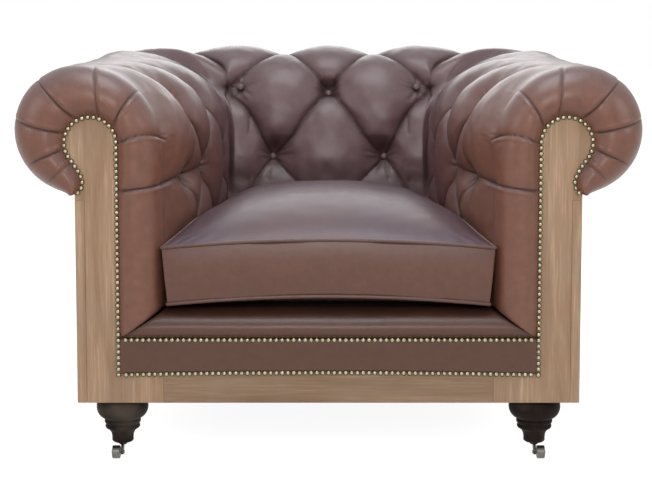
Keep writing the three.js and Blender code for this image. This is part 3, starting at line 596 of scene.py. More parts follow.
def store_fold_shade(made, values=0.0):
    """Painted shade in the folds at each point, which the leather reads as an attribute."""
    attribute = made.data.attributes.new("fold", "FLOAT", "POINT")
    values = np.broadcast_to(np.ravel(values), len(made.data.vertices))
    attribute.data.foreach_set("value", np.array(values, np.float32))


def lofted(name, rings, folds=0.0):
    """A closed piece of leather through rings of equal length."""
    made = piece(name, rings, loft_faces(*rings.shape[:2]))
    store_fold_shade(made, folds)
    return made


def finish_piece(made, body, material, slot, *nodes):
    """Gives a piece its material, the body that it rides on and the nodes that it stands for."""
    made.data.materials.clear()
    made.data.materials.append(material)
    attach(made, body)
    if nodes:
        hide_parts(*nodes)


def wrinkles(points, scale, seed):
    """Smooth noise between about -1 and 1 at each point."""
    flat = np.asarray(points).reshape(-1, 3) / scale + seed
    values = [noise.noise(Vector(point)) for point in flat]
    return np.array(values).reshape(np.asarray(points).shape[:-1])


def crowded(low, high, count, places, width):
    """Numbers from low to high, closer together near the given places."""
    even = np.linspace(low, high, 4 * count)
    density = 1 + 2 * np.max([bell(even - place, width) for place in places], axis=0)
    travelled = np.cumsum(density) - density[0]
    return np.interp(np.linspace(0, travelled[-1], count), travelled, even)


def nearness(row, column, tucks):
    """Painted shade in the hollow round each button."""
    shades = [bell(away_from(row, column, tuck), BUTTON_SHADE_RADIUS) for tuck in tucks]
    return np.max(shades, axis=0)


def crease_shade(pillow, start, mask):
    """Painted shade along the pleats, where the pillow is below the start."""
    return np.clip(start - pillow, 0, 1) ** 5 * mask


def unevenness(surface, row, open_share, seed):
    """Soft dents of the hide, deeper in the open hollows and calmer under the roll."""
    slack = (1 + 1.5 * open_share) * lerp(0.5, 1, smooth(-2.0, -1.0, row))
    return UNEVEN_DEPTH * slack * wrinkles(surface, UNEVEN_SCALE, seed)


def close_rings(rings, side, depth, height):
    """Ends each ring in two points that lie hidden inside the padding."""
    hidden = [np.broadcast_to(values, (len(rings), 2)) for values in (side, depth, height)]
    return np.concatenate([rings, np.stack(hidden, -1)], axis=1)


def stretch_lines(points, row, column):
    """Fine level wrinkles where the hide is pulled tight over the front of the arm."""
    patch = bell(column + 1.9, 0.35) * bell(row - 0.5, 0.8)
    return 0.0006 * wrinkles(points / np.array([1, 1, 0.10]), 0.045, 9.4) * patch


def arm_leather():
    """One arm's cover, right half, as rings from behind the facing to the corner."""
    pleat_rows = [pleat + drift for pleat, drift, _, _ in PLEATS]
    rows = crowded(FIRST_ROW, LAST_ROW, SECTION_POINTS, pleat_rows, 0.07)
    start = BORDER_COLUMN - BORDER_LENGTH
    columns = np.linspace(start, CORNER_COLUMN, round((CORNER_COLUMN - start) / CELL))
    row, column = np.meshgrid(rows, columns)
    pillow = arm_pillow(row, column)
    surface = arm_surface(row, column)
    surface[-1] = corner_surface(rows) - np.array([0, SEAT_GAP, 0])
    calm = np.where(column < BORDER_COLUMN, 0.4, 1) * (row > FIRST_ROW + 0.1)
    calm = calm * smooth(CORNER_COLUMN, CORNER_COLUMN - 0.15, column)
    uneven = unevenness(surface, row, (1 - pillow) * (column > -1.2), 3.1)
    uneven = uneven + stretch_lines(surface, row, column)
    surface = surface + surface_normal(arm_base, row, column) * (uneven * calm)[..., None]

    behind = FACING_THICKNESS + 0.001
    lap = []
    for depth, grow in (
        (behind, SEAT_GAP), (-HAIR, SEAT_GAP), (-HAIR, -LAP),
        (-LEATHER, -LAP), (-LEATHER - 0.0003, -0.5 * LAP),
    ):
        side, height = keyhole(rows, grow)
        lap.append(np.stack([side, np.full_like(rows, depth), height], -1))
    rings = np.concatenate([lap, surface])
    on_border = np.append(np.full(len(lap), True), columns < BORDER_COLUMN)
    border_side, border_height = keyhole([LAST_ROW, FIRST_ROW])
    place = rings[:, -1, 1].copy()
    place[on_border] = np.linspace(behind, ARM_FRONT_EDGE, np.sum(on_border))
    place[-1] = BACK_SLAB - SEAT_GAP
    rings = close_rings(
        rings,
        np.where(on_border[:, None], border_side, ARM_SLAB),
        place[:, None],
        np.where(on_border[:, None], border_height, (BORDER_BOTTOM, UNDER_ROLL)),
    )
    # Painted shade in the creases, along the pleats and loose folds, and round the tucks
    fold = np.max([
        crease_shade(pillow, 1.05, np.where(column < -0.9, 0, face_mask(row, -1.0, -0.4))),
        border_pleats(row, column)[1],
        0.7 * loose_folds(row, column, ARM_FOLDS, FOLD_SHADE_WIDTH),
        0.8 * nearness(row, column, ARM_TUCKS),
    ], axis=0)
    return rings, np.pad(fold, ((len(lap), 0), (0, 2)))


def build_arms(material):
    rings, folds = arm_leather()
    for side, points in (("left", mirrored(rings)), ("right", rings)):
        made = lofted(f"{side}_arm_leather", in_frame(points), folds)
        finish_piece(made, "root", material, "body_leather", f"{side}_arm_upholstery")


def build_back(material):
    rows = crowded(FIRST_ROW, LAST_ROW, SECTION_POINTS, (0.4,), 1.5)
    columns = np.linspace(-CORNER_COLUMN, CORNER_COLUMN, round(2 * CORNER_COLUMN / (1.15 * CELL)))
    row, column = np.meshgrid(rows, columns)
    pillow = back_pillow(row, column)
    surface = back_surface(row, column)
    uneven = unevenness(surface, row, 1 - pillow, 7.7)
    calm = smooth(CORNER_COLUMN, CORNER_COLUMN - 0.15, np.abs(column))
    surface = surface + surface_normal(back_base, row, column) * (uneven * calm)[..., None]
    corner = corner_surface(rows) - np.array([SEAT_GAP, 0, 0])
    surface[-1], surface[0] = corner, mirrored(corner)

    reach = np.abs(surface[:, -1, 0])
    corner_reach = arm_base(LAST_ROW, CORNER_COLUMN)[0] - SEAT_GAP
    side = lerp(reach, ARM_SLAB - SEAT_GAP, smooth(0.8, 1, reach / corner_reach))
    side = np.sign(columns) * side
    rings = close_rings(surface, side[:, None], BACK_SLAB, (BORDER_BOTTOM, UNDER_ROLL))
    # Painted shade in the creases, loose folds, button hollows, centre recess and pockets
    fold = np.max([
        crease_shade(pillow, 1.08, face_mask(row, -1.6, -1.0)),
        0.7 * loose_folds(row, np.abs(column), BACK_FOLDS, FOLD_SHADE_WIDTH),
        0.9 * nearness(row, column, BACK_BUTTONS),
        0.9 * centre_recess(row, column),
        0.6 * pocket(row, column),
        # Painted shade low on the back, where it meets the cushion
        0.45 * smooth(1.0, 1.35, row),
    ], axis=0)
    made = lofted("back_leather", in_frame(rings), np.pad(fold, ((0, 0), (0, 2))))
    finish_piece(made, "root", material, "body_leather", "back_upholstery")


def build_seat_border(material):
    """Padded lip along the front of the seat, mitred into the arms' borders."""
    count, rear = 34, 0.045
    share, depth = border_profile(np.linspace(0, 1, count))
    side = lerp(FACING_INNER, ARM_FACE, share)
    outline = np.stack([side, depth, lerp(BORDER_BOTTOM, SEAT_HEIGHT, share)], -1)
    hidden = [[arm_face(rear), rear, SEAT_HEIGHT], [FACING_INNER, rear, BORDER_BOTTOM]]
    outline = np.vstack([outline, hidden])
    across = np.linspace(-1, 1, 260)[:, None]
    from_seam = 1 - np.abs(across)
    seam = MITRE_DEPTH * ridge(from_seam * FACING_INNER, MITRE_WIDTH)
    rings = np.repeat(outline[None], len(across), 0)
    rings[:, :, 0] = across * (outline[:, 0] - 2 * SEAT_GAP)
    rings[:, :count, 1] += seam * (1 - share)
    rings[:, :count, 2] -= seam * share
    sway = 0.0012 * wrinkles(rings, 0.08, 1.3)
    rings[:, 2:count - 1, 1] += sway[:, 2:count - 1]
    # Painted shade along the mitre grooves at both ends
    fold = np.repeat(np.exp(-from_seam * 60), rings.shape[1], 1)
    made = lofted("seat_border_leather", in_frame(rings), fold)
    finish_piece(made, "root", material, "body_leather", "seat_border")


def band_bottom(side):
    """Lower edge of the flat front band, which bows up slightly in the middle."""
    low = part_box("front_band")[0].z
    return low + 0.004 * (1 - (side / FACING_INNER) ** 2)


def build_front_band(material):
    """Flat leather between the two rows of nails, a little full between them."""
    side = np.linspace(-1, 1, 200)[:, None] * (FACING_INNER - 0.0002)
    up = np.linspace(0, 1, 18)
    front = np.zeros((len(side), len(up), 3))
    front[..., 0] = side
    front[..., 1] = -(0.0018 + 0.0022 * np.sin(np.pi * up) ** 0.5)
    front[..., 2] = lerp(band_bottom(side), RAIL_TOP + 0.002, up)
    rear = front[:, ::-1].copy()
    rear[..., 1] = -HAIR
    rings = np.concatenate([front, rear], axis=1)
    rings[:, 2:16, 1] -= 0.0007 * wrinkles(rings[:, 2:16], 0.045, 5.2)
    made = lofted("front_band_leather", in_frame(rings))
    finish_piece(made, "root", material, "body_leather", "front_band")


# Seat cushion

def seat_half_width(depth):
    """Free half width of the seat between the arms at a depth."""
    last = ARM_FIRST_BUTTON + ARM_COLUMN * ARM_LAST_COLUMN
    straight = (depth - ARM_FIRST_BUTTON) / ARM_COLUMN
    bent = ARM_LAST_COLUMN + (depth - last) / (BACK_SEAT - last)
    column = np.maximum(np.where(depth <= last, straight, bent), BORDER_COLUMN)
    return arm_base(LAST_ROW, column)[..., 0] - CUSHION_GAP


def cushion_point(u, w, s):
    """A point of the cushion: u across, w backwards and s upwards, each from -1 to 1."""
    front, rear = -CUSHION_OVERHANG, BACK_SEAT - CUSHION_GAP
    depth = lerp(front, rear, (w + 1) / 2)
    widest = ARM_FACE + CUSHION_SPREAD
    half = lerp(widest, seat_half_width(depth), smooth(front, ARM_FRONT_EDGE, depth))
    squeezed = smooth(-1, -0.2, w)
    corner = CUSHION_CORNER * np.minimum(u ** 12, w ** 12)
    tuck = (CUSHION_TUCK * (1 - s) + CUSHION_PINCH * squeezed * (1 + s)) / 2
    belly = np.where(w < 0, CUSHION_BELLY * (1 - s * s) * w ** 6, 0)
    arch = CUSHION_ARCH * (1 - u * u) * (1 - smooth(-1, 0.4, w))
    squeeze = CUSHION_SQUEEZE * squeezed
    roll = CUSHION_EDGE_ROLL * (1 - u ** 24) * (1 - w ** 24)
    crown = CUSHION_CROWN * (1 - np.abs(u) ** 2.5) * (1 - np.abs(w) ** 3)
    edge = np.maximum(u ** 10, w ** 10)
    base = SEAT_HEIGHT + SEAT_GAP
    low = base + edge * (CUSHION_EDGE_RISE + 0.5 * squeeze) + arch * np.where(w < 0, w ** 8, 0)
    high = base + CUSHION_HEIGHT + arch + squeeze + roll + crown
    side = u * (half - corner - tuck)
    depth = depth - belly + np.where(w < 0, corner, -corner)
    return np.stack([side, depth, lerp(low, high, (s + 1) / 2)], -1)


def cushion_mesh(across, along, up):
    """Closed grid over the cushion's six sides, with the loops that its two welts follow."""
    index, points = {}, []

    def vertex(i, j, k):
        key = (i, j, k)
        if key not in index:
            index[key] = len(points)
            points.append((2 * i / across - 1, 2 * j / along - 1, 2 * k / up - 1))
        return index[key]

    faces = []
    for k in (0, up):
        for i in range(across):
            for j in range(along):
                corners = [(i, j), (i + 1, j), (i + 1, j + 1), (i, j + 1)]
                face = tuple(vertex(a, b, k) for a, b in corners)
                faces.append(face if k else face[::-1])
    outline = [(i, 0) for i in range(across)] + [(across, j) for j in range(along)]
    outline += [(i, along) for i in range(across, 0, -1)] + [(0, j) for j in range(along, 0, -1)]
    for k in range(up):
        for (a, b), (c, d) in zip(outline, outline[1:] + outline[:1]):
            faces.append((vertex(a, b, k), vertex(c, d, k), vertex(c, d, k + 1), vertex(a, b, k + 1)))
    across_places, along_places, up_places = np.array(points).T
    u, w = np.sin(np.pi / 2 * across_places), np.sin(np.pi / 2 * along_places)
    loops = [[vertex(a, b, k) for a, b in outline] for k in (0, up)]
    return cushion_point(u, w, up_places), faces, loops


def inflate(made, limit, seams, pressure=4.0, frames=20):
    """Swells a padded piece with the cloth simulation, held at its seams and near its start."""
    start = vertex_places(made)
    group = made.vertex_groups.new(name="seams")
    group.add(seams, 1.0, "REPLACE")
    cloth = made.modifiers.new("swell", "CLOTH")
    cloth.settings.use_pressure = True
    cloth.settings.uniform_pressure_force = pressure
    cloth.settings.effector_weights.gravity = 0
    cloth.settings.tension_stiffness = 12
    cloth.settings.bending_stiffness = 0.4
    cloth.settings.vertex_group_mass = "seams"
    scene.frame_start, scene.frame_end = 1, frames
    for step in range(1, frames + 1):
        scene.frame_set(step)
    end = vertex_places(made.evaluated_get(bpy.context.evaluated_depsgraph_get()))
    made.modifiers.remove(cloth)
    made.vertex_groups.remove(group)
    scene.frame_set(1)
    move = end - start
    length = np.linalg.norm(move, axis=1, keepdims=True)
    move = move * np.minimum(1, limit / np.maximum(length, 1e-9))
    move_vertices(made, start + move)
    made.data.update()


def settle(name, source):
    """A plain mesh object in place of a curve, or of a mesh with its modifiers."""
    bpy.context.view_layer.update()
    evaluated = source.evaluated_get(bpy.context.evaluated_depsgraph_get())
    mesh = bpy.data.meshes.new_from_object(evaluated)
    bpy.data.objects.remove(source)
    return in_scene(name, mesh)


def tube(name, path, radius):
    """A piped cord of the given radius along a closed loop of points."""
    curve = bpy.data.curves.new(name, "CURVE")
    curve.dimensions = "3D"
    curve.bevel_depth = radius
    curve.bevel_resolution = 3
    spline = curve.splines.new("POLY")
    spline.points.add(len(path) - 1)
    spline.points.foreach_set("co", np.hstack([path, np.ones((len(path), 1))]).ravel())
    spline.use_cyclic_u = True
    return settle(name, in_scene(name + "_path", curve))


def build_cushion(material, welt_material):
    """Loose box cushion with a welt round its top and its bottom."""
    points, faces, loops = cushion_mesh(84, 84, 16)
    seams = loops[0] + loops[1]
    made = piece("cushion_leather", in_frame(points), faces)
    inflate(made, 0.006, sorted(set(seams)))
    places = vertex_places(made)
    held = np.ones(len(places))
    held[seams] = 0
    held[places[:, 2] < places[seams, 2].min() + 0.006] = 0
    dents = 0.0016 * wrinkles(places, 0.11, 2.4) + 0.0006 * wrinkles(places, 0.03, 6.1)
    places[:, 2] += dents * held
    move_vertices(made, places)
    store_fold_shade(made)
    for name, loop in zip(("lower", "upper"), loops):
        welt = tube(f"cushion_{name}_welt", places[loop], WELT_RADIUS)
        store_fold_shade(welt)
        finish_piece(welt, "root", welt_material, "welt_leather")
    finish_piece(made, "root", material, "cushion_leather", "seat_cushion")


# Geometry Nodes

def add(tree, kind, inputs=None, **settings):
    """A node with its settings, and its inputs as values or as other nodes' outputs."""
    made = tree.nodes.new(kind)
    for key, value in settings.items():
        setattr(made, key, value)
    for key, value in (inputs or {}).items():
        if isinstance(value, bpy.types.NodeSocket):
            tree.links.new(value, made.inputs[key])
        else:
            made.inputs[key].default_value = value
    return made


def geometry_tree(name, inputs):
    """An empty tree with named inputs, and its input and output nodes."""
    tree = bpy.data.node_groups.new(name, "GeometryNodeTree")
    tree.interface.new_socket("Geometry", in_out="INPUT", socket_type="NodeSocketGeometry")
    for label, kind, value in inputs:
        socket = tree.interface.new_socket(label, in_out="INPUT", socket_type=kind)
        if value is not None:
            socket.default_value = value
    tree.interface.new_socket("Geometry", in_out="OUTPUT", socket_type="NodeSocketGeometry")
    return tree, tree.nodes.new("NodeGroupInput"), tree.nodes.new("NodeGroupOutput")


def grow(name, source, tree, values):
    """Runs a tree on a source object and returns the result as a plain mesh object."""
    modifier = source.modifiers.new(tree.name, "NODES")
    modifier.node_group = tree
    for item in tree.interface.items_tree:
        if item.item_type == "SOCKET" and item.in_out == "INPUT" and item.name in values:
            modifier[item.identifier] = values[item.name]
    return settle(name, source)


def nail_tree():
    """Domed nails with a flat rim along a path, a little uneven in turn and size."""
    tree, given, result = geometry_tree("nails_along_path", [
        ("Pitch", "NodeSocketFloat", NAIL_PITCH),
        ("Radius", "NodeSocketFloat", NAIL_RADIUS),
        ("Facing", "NodeSocketVector", (0.0, -1.0, 0.0)),
        ("Seed", "NodeSocketInt", 4),
        ("Material", "NodeSocketMaterial", None),
    ])
    ball = add(tree, "GeometryNodeMeshUVSphere", {"Segments": 12, "Rings": 9, "Radius": 1.0})
    place = add(tree, "GeometryNodeInputPosition")
    height = add(tree, "ShaderNodeSeparateXYZ", {0: place.outputs[0]})
    above = add(tree, "FunctionNodeCompare", {0: height.outputs["Z"], 1: -0.35}, operation="LESS_THAN")
    dome = add(tree, "GeometryNodeDeleteGeometry", {0: ball.outputs["Mesh"], 1: above.outputs[0]})
    marked = add(tree, "GeometryNodeStoreNamedAttribute",
                 {"Geometry": dome.outputs[0], "Name": "dome", "Value": height.outputs["Z"]},
                 data_type="FLOAT", domain="POINT")
    flat = add(tree, "GeometryNodeTransform", {"Geometry": marked.outputs[0], "Scale": (1.0, 1.0, 0.52)})
    curve = add(tree, "GeometryNodeMeshToCurve", {"Mesh": given.outputs["Geometry"]})
    even = add(tree, "GeometryNodeResampleCurve",
               {"Curve": curve.outputs[0], "Length": given.outputs["Pitch"]}, mode="LENGTH")
    turn = add(tree, "FunctionNodeAlignRotationToVector", {"Vector": given.outputs["Facing"]}, axis="Z")
    tilt = add(tree, "FunctionNodeRandomValue", data_type="FLOAT_VECTOR")
    tilt.inputs["Min"].default_value = (-0.10, -0.10, -3.0)
    tilt.inputs["Max"].default_value = (0.10, 0.10, 3.0)
    tree.links.new(given.outputs["Seed"], tilt.inputs["Seed"])
    own = add(tree, "FunctionNodeEulerToRotation", {0: tilt.outputs[0]})
    both = add(tree, "FunctionNodeRotateRotation", {0: turn.outputs[0], 1: own.outputs[0]},
               rotation_space="LOCAL")
    size = add(tree, "FunctionNodeRandomValue", {"Seed": given.outputs["Seed"]}, data_type="FLOAT")
    size.inputs[2].default_value, size.inputs[3].default_value = 0.93, 1.05
    scale = add(tree, "ShaderNodeMath", {0: size.outputs[1], 1: given.outputs["Radius"]},
                operation="MULTIPLY")
    nails = add(tree, "GeometryNodeInstanceOnPoints", {
        "Points": even.outputs[0], "Instance": flat.outputs[0],
        "Rotation": both.outputs[0], "Scale": scale.outputs[0]})
    real = add(tree, "GeometryNodeRealizeInstances", {0: nails.outputs[0]})
    soft = add(tree, "GeometryNodeSetShadeSmooth", {0: real.outputs[0]})
    dressed = add(tree, "GeometryNodeSetMaterial",
                  {"Geometry": soft.outputs[0], "Material": given.outputs["Material"]})
    tree.links.new(dressed.outputs[0], result.inputs[0])
    return tree


def path_object(name, points):
    """A mesh of edges through points, for a tree to follow."""
    mesh = bpy.data.meshes.new(name)
    mesh.from_pydata(np.asarray(points).tolist(), [(i, i + 1) for i in range(len(points) - 1)], [])
    return in_scene(name, mesh)


def panel_sides(node, axis):
    """An outside panel's low and high corners, its way outwards, and its outer and inner place."""
    low, high = (np.array(corner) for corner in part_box(node))
    if low[axis] > 0:
        return low, high, 1, high[axis], low[axis]
    return low, high, -1, low[axis], high[axis]


def build_outside_panels(material):
    """Plain covers on the outer sides and the back, a little slack over a thin padding."""
    for node, axis in OUTSIDE_PANELS:
        low, high, outward, outer, inner = panel_sides(node, axis)
        u, v = np.meshgrid(np.linspace(-1, 1, 150), np.linspace(-1, 1, 60), indexing="ij")
        points = np.zeros((*u.shape, 3))
        points[..., 1 - axis] = lerp(low[1 - axis], high[1 - axis], (u + 1) / 2)
        points[..., 2] = lerp(low[2], high[2], (v + 1) / 2)
        swell = np.sqrt((1 - u ** 16) * (1 - v ** 10))
        slack = 0.0022 * wrinkles(points / np.array([1, 1, 1.8]), 0.12, 4.2)
        slack = slack + 0.0007 * wrinkles(points, 0.03, 8.8)
        points[..., axis] = outer + outward * (-0.0012 + (0.0050 + slack) * swell)
        behind = points[:, [-1, 0]].copy()
        behind[..., axis] = inner
        made = lofted(f"{node}_leather", np.concatenate([points, behind], axis=1))
        finish_piece(made, "root", material, "outside_leather", node)


def nail_rows():
    """Name, points and facing of each row: round the facings, along the band and on the hems."""
    side, height = keyhole(np.linspace(FIRST_ROW + 0.02, LAST_ROW, 260), -NAIL_INSET)
    down = [[FACING_INNER + NAIL_INSET, band_bottom(FACING_INNER) - BAND_NAIL_DROP]]
    outline = np.vstack([np.stack([side, height], -1), down])
    across = np.linspace(-1, 1, 80) * (FACING_INNER - NAIL_PITCH)
    lower = band_bottom(across) - BAND_NAIL_DROP
    found = []
    for name, line in (
        ("right_facing", outline),
        ("left_facing", outline * np.array([-1, 1])),
        ("band_upper", np.stack([across, np.full_like(across, RAIL_TOP - 0.0005)], -1)),
        ("band_lower", np.stack([across, lower], -1)),
    ):
        points = in_frame(np.insert(line, 1, -LEATHER - 0.0006, axis=1))
        found.append((name, points, (0.0, -1.0, 0.0)))
    for node, axis in OUTSIDE_PANELS:
        low, high, outward, outer, _ = panel_sides(node, axis)
        ends = np.full((2, 3), low[2] + HEM_NAIL_RISE)
        ends[:, axis] = outer + 0.0012 * outward
        ends[:, 1 - axis] = low[1 - axis] + NAIL_PITCH, high[1 - axis] - NAIL_PITCH
        facing = [0.0, 0.0, 0.0]
        facing[axis] = float(outward)
        found.append((node, ends, tuple(facing)))
    return found


def build_nails(material):
    tree = nail_tree()
    for seed, (name, points, facing) in enumerate(nail_rows(), 4):
        values = {"Pitch": NAIL_PITCH, "Radius": NAIL_RADIUS, "Facing": facing,
                  "Seed": seed, "Material": material}
        made = grow(f"{name}_nails", path_object(name, points), tree, values)
        finish_piece(made, "root", material, "antique_brass")


def build_buttons(material):
    """Covered buttons seated in their tufts."""
    for group, sides, buttons, surface, base, facing in (
        ("arm", ("left_", "right_"), ARM_BUTTONS, arm_surface, arm_base, 1),
        ("back", ("",), BACK_BUTTONS, back_surface, back_base, -1),
    ):
        for number, button in enumerate(buttons, 1):
            row, column = (np.array([float(value)]) for value in button)
            normal = surface_normal(base, row, column)[0] * facing
            centre = surface(row, column)[0] + normal * BUTTON_LIFT
            for side in sides:
                flip = np.array([-1 if side == "left_" else 1, 1, 1])
                node = f"{side}{group}_button_{number}"
                made = lathe(node + "_cover", button_profile(), 28)
                turn = Vector((0, 0, 1)).rotation_difference(Vector(normal * flip)).to_matrix()
                points = np.array([turn @ vertex.co for vertex in made.data.vertices])
                move_vertices(made, points + in_frame(centre * flip))
                store_fold_shade(made)
                finish_piece(made, "root", material, "button_leather", node)


def button_profile():
    """Flat underside, rounded rim and low dome."""
    radius, dome = 0.0084, 0.0046
    rim = [(0, -0.003), (radius * 0.86, -0.003), (radius * 0.98, -0.0015)]
    angles = np.linspace(0, math.pi / 2, 9)
    return rim + [(radius * math.cos(angle), dome * math.sin(angle)) for angle in angles]


# Turned and flat wood, and metal

def lathe(name, profile, segments):
    """A turned body about the upright axis, from (radius, height) corners that end on it."""
    turn = np.linspace(0, 2 * math.pi, segments, endpoint=False)
    inner = [(r, z) for r, z in profile if r > 1e-6]
    points = [[r * math.cos(a), r * math.sin(a), z] for r, z in inner for a in turn]
    faces = []
    for r in range(len(inner) - 1):
        for k in range(segments):
            after = (k + 1) % segments
            a, b = r * segments, (r + 1) * segments
            faces.append((a + k, a + after, b + after, b + k))
    first = range(segments)
    last = range((len(inner) - 1) * segments, len(inner) * segments)
    for ring, (radius, height) in ((first, profile[0]), (last, profile[-1])):
        if radius > 1e-6:
            faces.append(tuple(ring))
            continue
        points.append([0, 0, height])
        pole, ring = len(points) - 1, list(ring)
        faces += [(ring[k], ring[(k + 1) % segments], pole) for k in range(segments)]
    made = piece(name, points, faces)
    body = bmesh.new()
    body.from_mesh(made.data)
    bmesh.ops.recalc_face_normals(body, faces=body.faces)
    body.to_mesh(made.data)
    body.free()
    return made


def shift(made, offset):
    made.data.transform(Matrix.Translation(offset))


def rounded_copy(node, name, radius, segments=3):
    """A copy of a node's solid with its sharp edges rounded."""
    body = bmesh.new()
    body.from_mesh(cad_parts[node].data)
    bmesh.ops.remove_doubles(body, verts=body.verts, dist=1e-5)
    bmesh.ops.dissolve_limit(body, angle_limit=math.radians(1), verts=body.verts, edges=body.edges)
    joined = [edge for edge in body.edges if len(edge.link_faces) == 2]
    sharp = [edge for edge in joined if edge.calc_face_angle() > math.radians(30)]
    bmesh.ops.bevel(body, geom=sharp, offset=radius, segments=segments, profile=0.5, affect="EDGES",
                    clamp_overlap=True)
    bmesh.ops.recalc_face_normals(body, faces=body.faces)
    mesh = bpy.data.meshes.new(name)
    body.to_mesh(mesh)
    body.free()
    return in_scene(name, mesh)


def build_wood(upright, level, along, dark):
    for side in ("left", "right"):
        for node, material, slot in (
            ("arm_facing", upright, "weathered_oak"),
            ("side_stile", upright, "weathered_oak"),
            ("rear_post", upright, "weathered_oak"),
            ("side_rail", along, "weathered_oak"),
            ("arm_rail", along, "frame_beech"),
            ("rear_leg", dark, "dark_wood"),
        ):
            name = f"{side}_{node}"
            made = rounded_copy(name, name + "_wood", WOOD_ROUNDING)
            finish_piece(made, "root", material, slot, name)
    for node in ("front_rail", "back_rail", "back_top_rail"):
        made = rounded_copy(node, node + "_wood", WOOD_ROUNDING)
        finish_piece(made, "root", level, "weathered_oak", node)


def leg_profile():
    """Bun, two rings and a hollow taper, from the frame down to the caster."""
    low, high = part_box("right_front_leg")[0].z, FRAME_BOTTOM

    def at(share):
        return lerp(low, high, share)

    def curve(points, steps=12):
        shares = np.linspace(0, 1, steps + 1)[1:]
        if len(points) == 4:
            return [tuple(bezier(t, *values) for values in zip(*points)) for t in shares]
        return [tuple((1 - t) ** 2 * p + 2 * t * (1 - t) * q + t * t * r for p, q, r in zip(*points))
                for t in shares]

    bun = (8 * BUN_RADIUS - LEG_TOP - BUN_FOOT) / 6
    foot, waist, cove = (BUN_FOOT, at(BUN_FOOT_PLACE)), (WAIST, at(WAIST_PLACE)), (WAIST, at(COVE_PLACE))
    top = (LEG_TOP, high)
    profile = [(0, high), top]
    profile += curve([top, (bun, at(BUN_TOP_HANDLE)), (bun, at(BUN_LOW_HANDLE)), foot], 24)
    profile += curve([foot, (2 * UPPER_RING - WAIST, at(UPPER_RING_PLACE)), waist])
    profile += curve([waist, (2 * LOWER_RING - WAIST, at(LOWER_RING_PLACE)), cove])
    profile += curve([cove, (ANKLE, at(TAPER_HANDLE)), (ANKLE, at(TAPER_END))])
    return profile + [(ANKLE, at(FOOT_EDGE)), (ANKLE - FOOT_ROUNDING, low), (0, low)]


def build_legs(dark, cast, bright):
    for side, sign in (("left", -1), ("right", 1)):
        made = lathe(f"{side}_front_leg_turned", leg_profile(), 72)
        shift(made, (sign * LEG_CENTRE.x, LEG_CENTRE.y, 0))
        finish_piece(made, "root", dark, "dark_wood", f"{side}_front_leg")
        for node, body, material, slot in (
            ("caster_socket", "root", cast, "caster_metal"),
            ("caster_fork", f"{side}_caster", cast, "caster_metal"),
            ("caster_axle", f"{side}_caster", bright, "wheel_metal"),
            ("caster_wheel", f"{side}_wheel", bright, "wheel_metal"),
        ):
            name = f"{side}_{node}"
            made = rounded_copy(name, name + "_metal", METAL_ROUNDING, 2)
            finish_piece(made, body, material, slot, name)


# Materials

GROUP_OUTPUTS = (
    ("Color", "NodeSocketColor"), ("Roughness", "NodeSocketFloat"), ("Normal", "NodeSocketVector"),
)


def empty_tree(owner):
    """The cleared node tree of a material or a world."""
    owner.use_nodes = True
    owner.node_tree.nodes.clear()
    return owner.node_tree


def shader(name):
    material = bpy.data.materials.new(name)
    tree = empty_tree(material)
    surface = tree.nodes.new("ShaderNodeBsdfPrincipled")
    add(tree, "ShaderNodeOutputMaterial", {0: surface.outputs[0]})
    return material, tree, surface


def object_place(tree):
    return add(tree, "ShaderNodeTexCoord").outputs["Object"]


def calculate(tree, operation, a, b):
    """A product, sum or the like of two numbers or outputs."""
    return add(tree, "ShaderNodeMath", {0: a, 1: b}, operation=operation).outputs[0]


def clouds(tree, place, scale, detail, roughness=0.5, distortion=0.0):
    """The value of a noise texture."""
    inputs = {"Vector": place, "Scale": scale, "Detail": detail,
              "Roughness": roughness, "Distortion": distortion}
    return add(tree, "ShaderNodeTexNoise", inputs).outputs["Fac"]


def mix(tree, factor, a, b, kind="MIX"):
    """A colour mix, whose inputs are colours or outputs."""
    return add(tree, "ShaderNodeMix", {0: factor, 6: a, 7: b}, data_type="RGBA", blend_type=kind).outputs[2]


def spread(tree, value, low, high, to_low=0.0, to_high=1.0):
    made = add(tree, "ShaderNodeMapRange", {"Value": value, "From Min": low, "From Max": high,
                                            "To Min": to_low, "To Max": to_high})
    return made.outputs[0]


def effect(name, inputs, outputs=GROUP_OUTPUTS):
    """An empty shader group with named inputs and outputs."""
    group = bpy.data.node_groups.new(name, "ShaderNodeTree")
    for label, kind, value in inputs:
        socket = group.interface.new_socket(label, in_out="INPUT", socket_type=kind)
        socket.default_value = value
    for label, kind in outputs:
        group.interface.new_socket(label, in_out="OUTPUT", socket_type=kind)
    return group, group.nodes.new("NodeGroupInput").outputs, group.nodes.new("NodeGroupOutput").inputs


def grouped(name, group, values):
    """A material whose look comes from a shader group with the given colours and numbers."""
    material, tree, surface = shader(name)
    skin = add(tree, "ShaderNodeGroup", node_tree=group)
    for label, value in values.items():
        skin.inputs[label].default_value = value if isinstance(value, float) else (*value, 1)
    for output in skin.outputs:
        label = "Base Color" if output.name == "Color" else output.name
        tree.links.new(output, surface.inputs[label])
    return material, tree, surface, skin


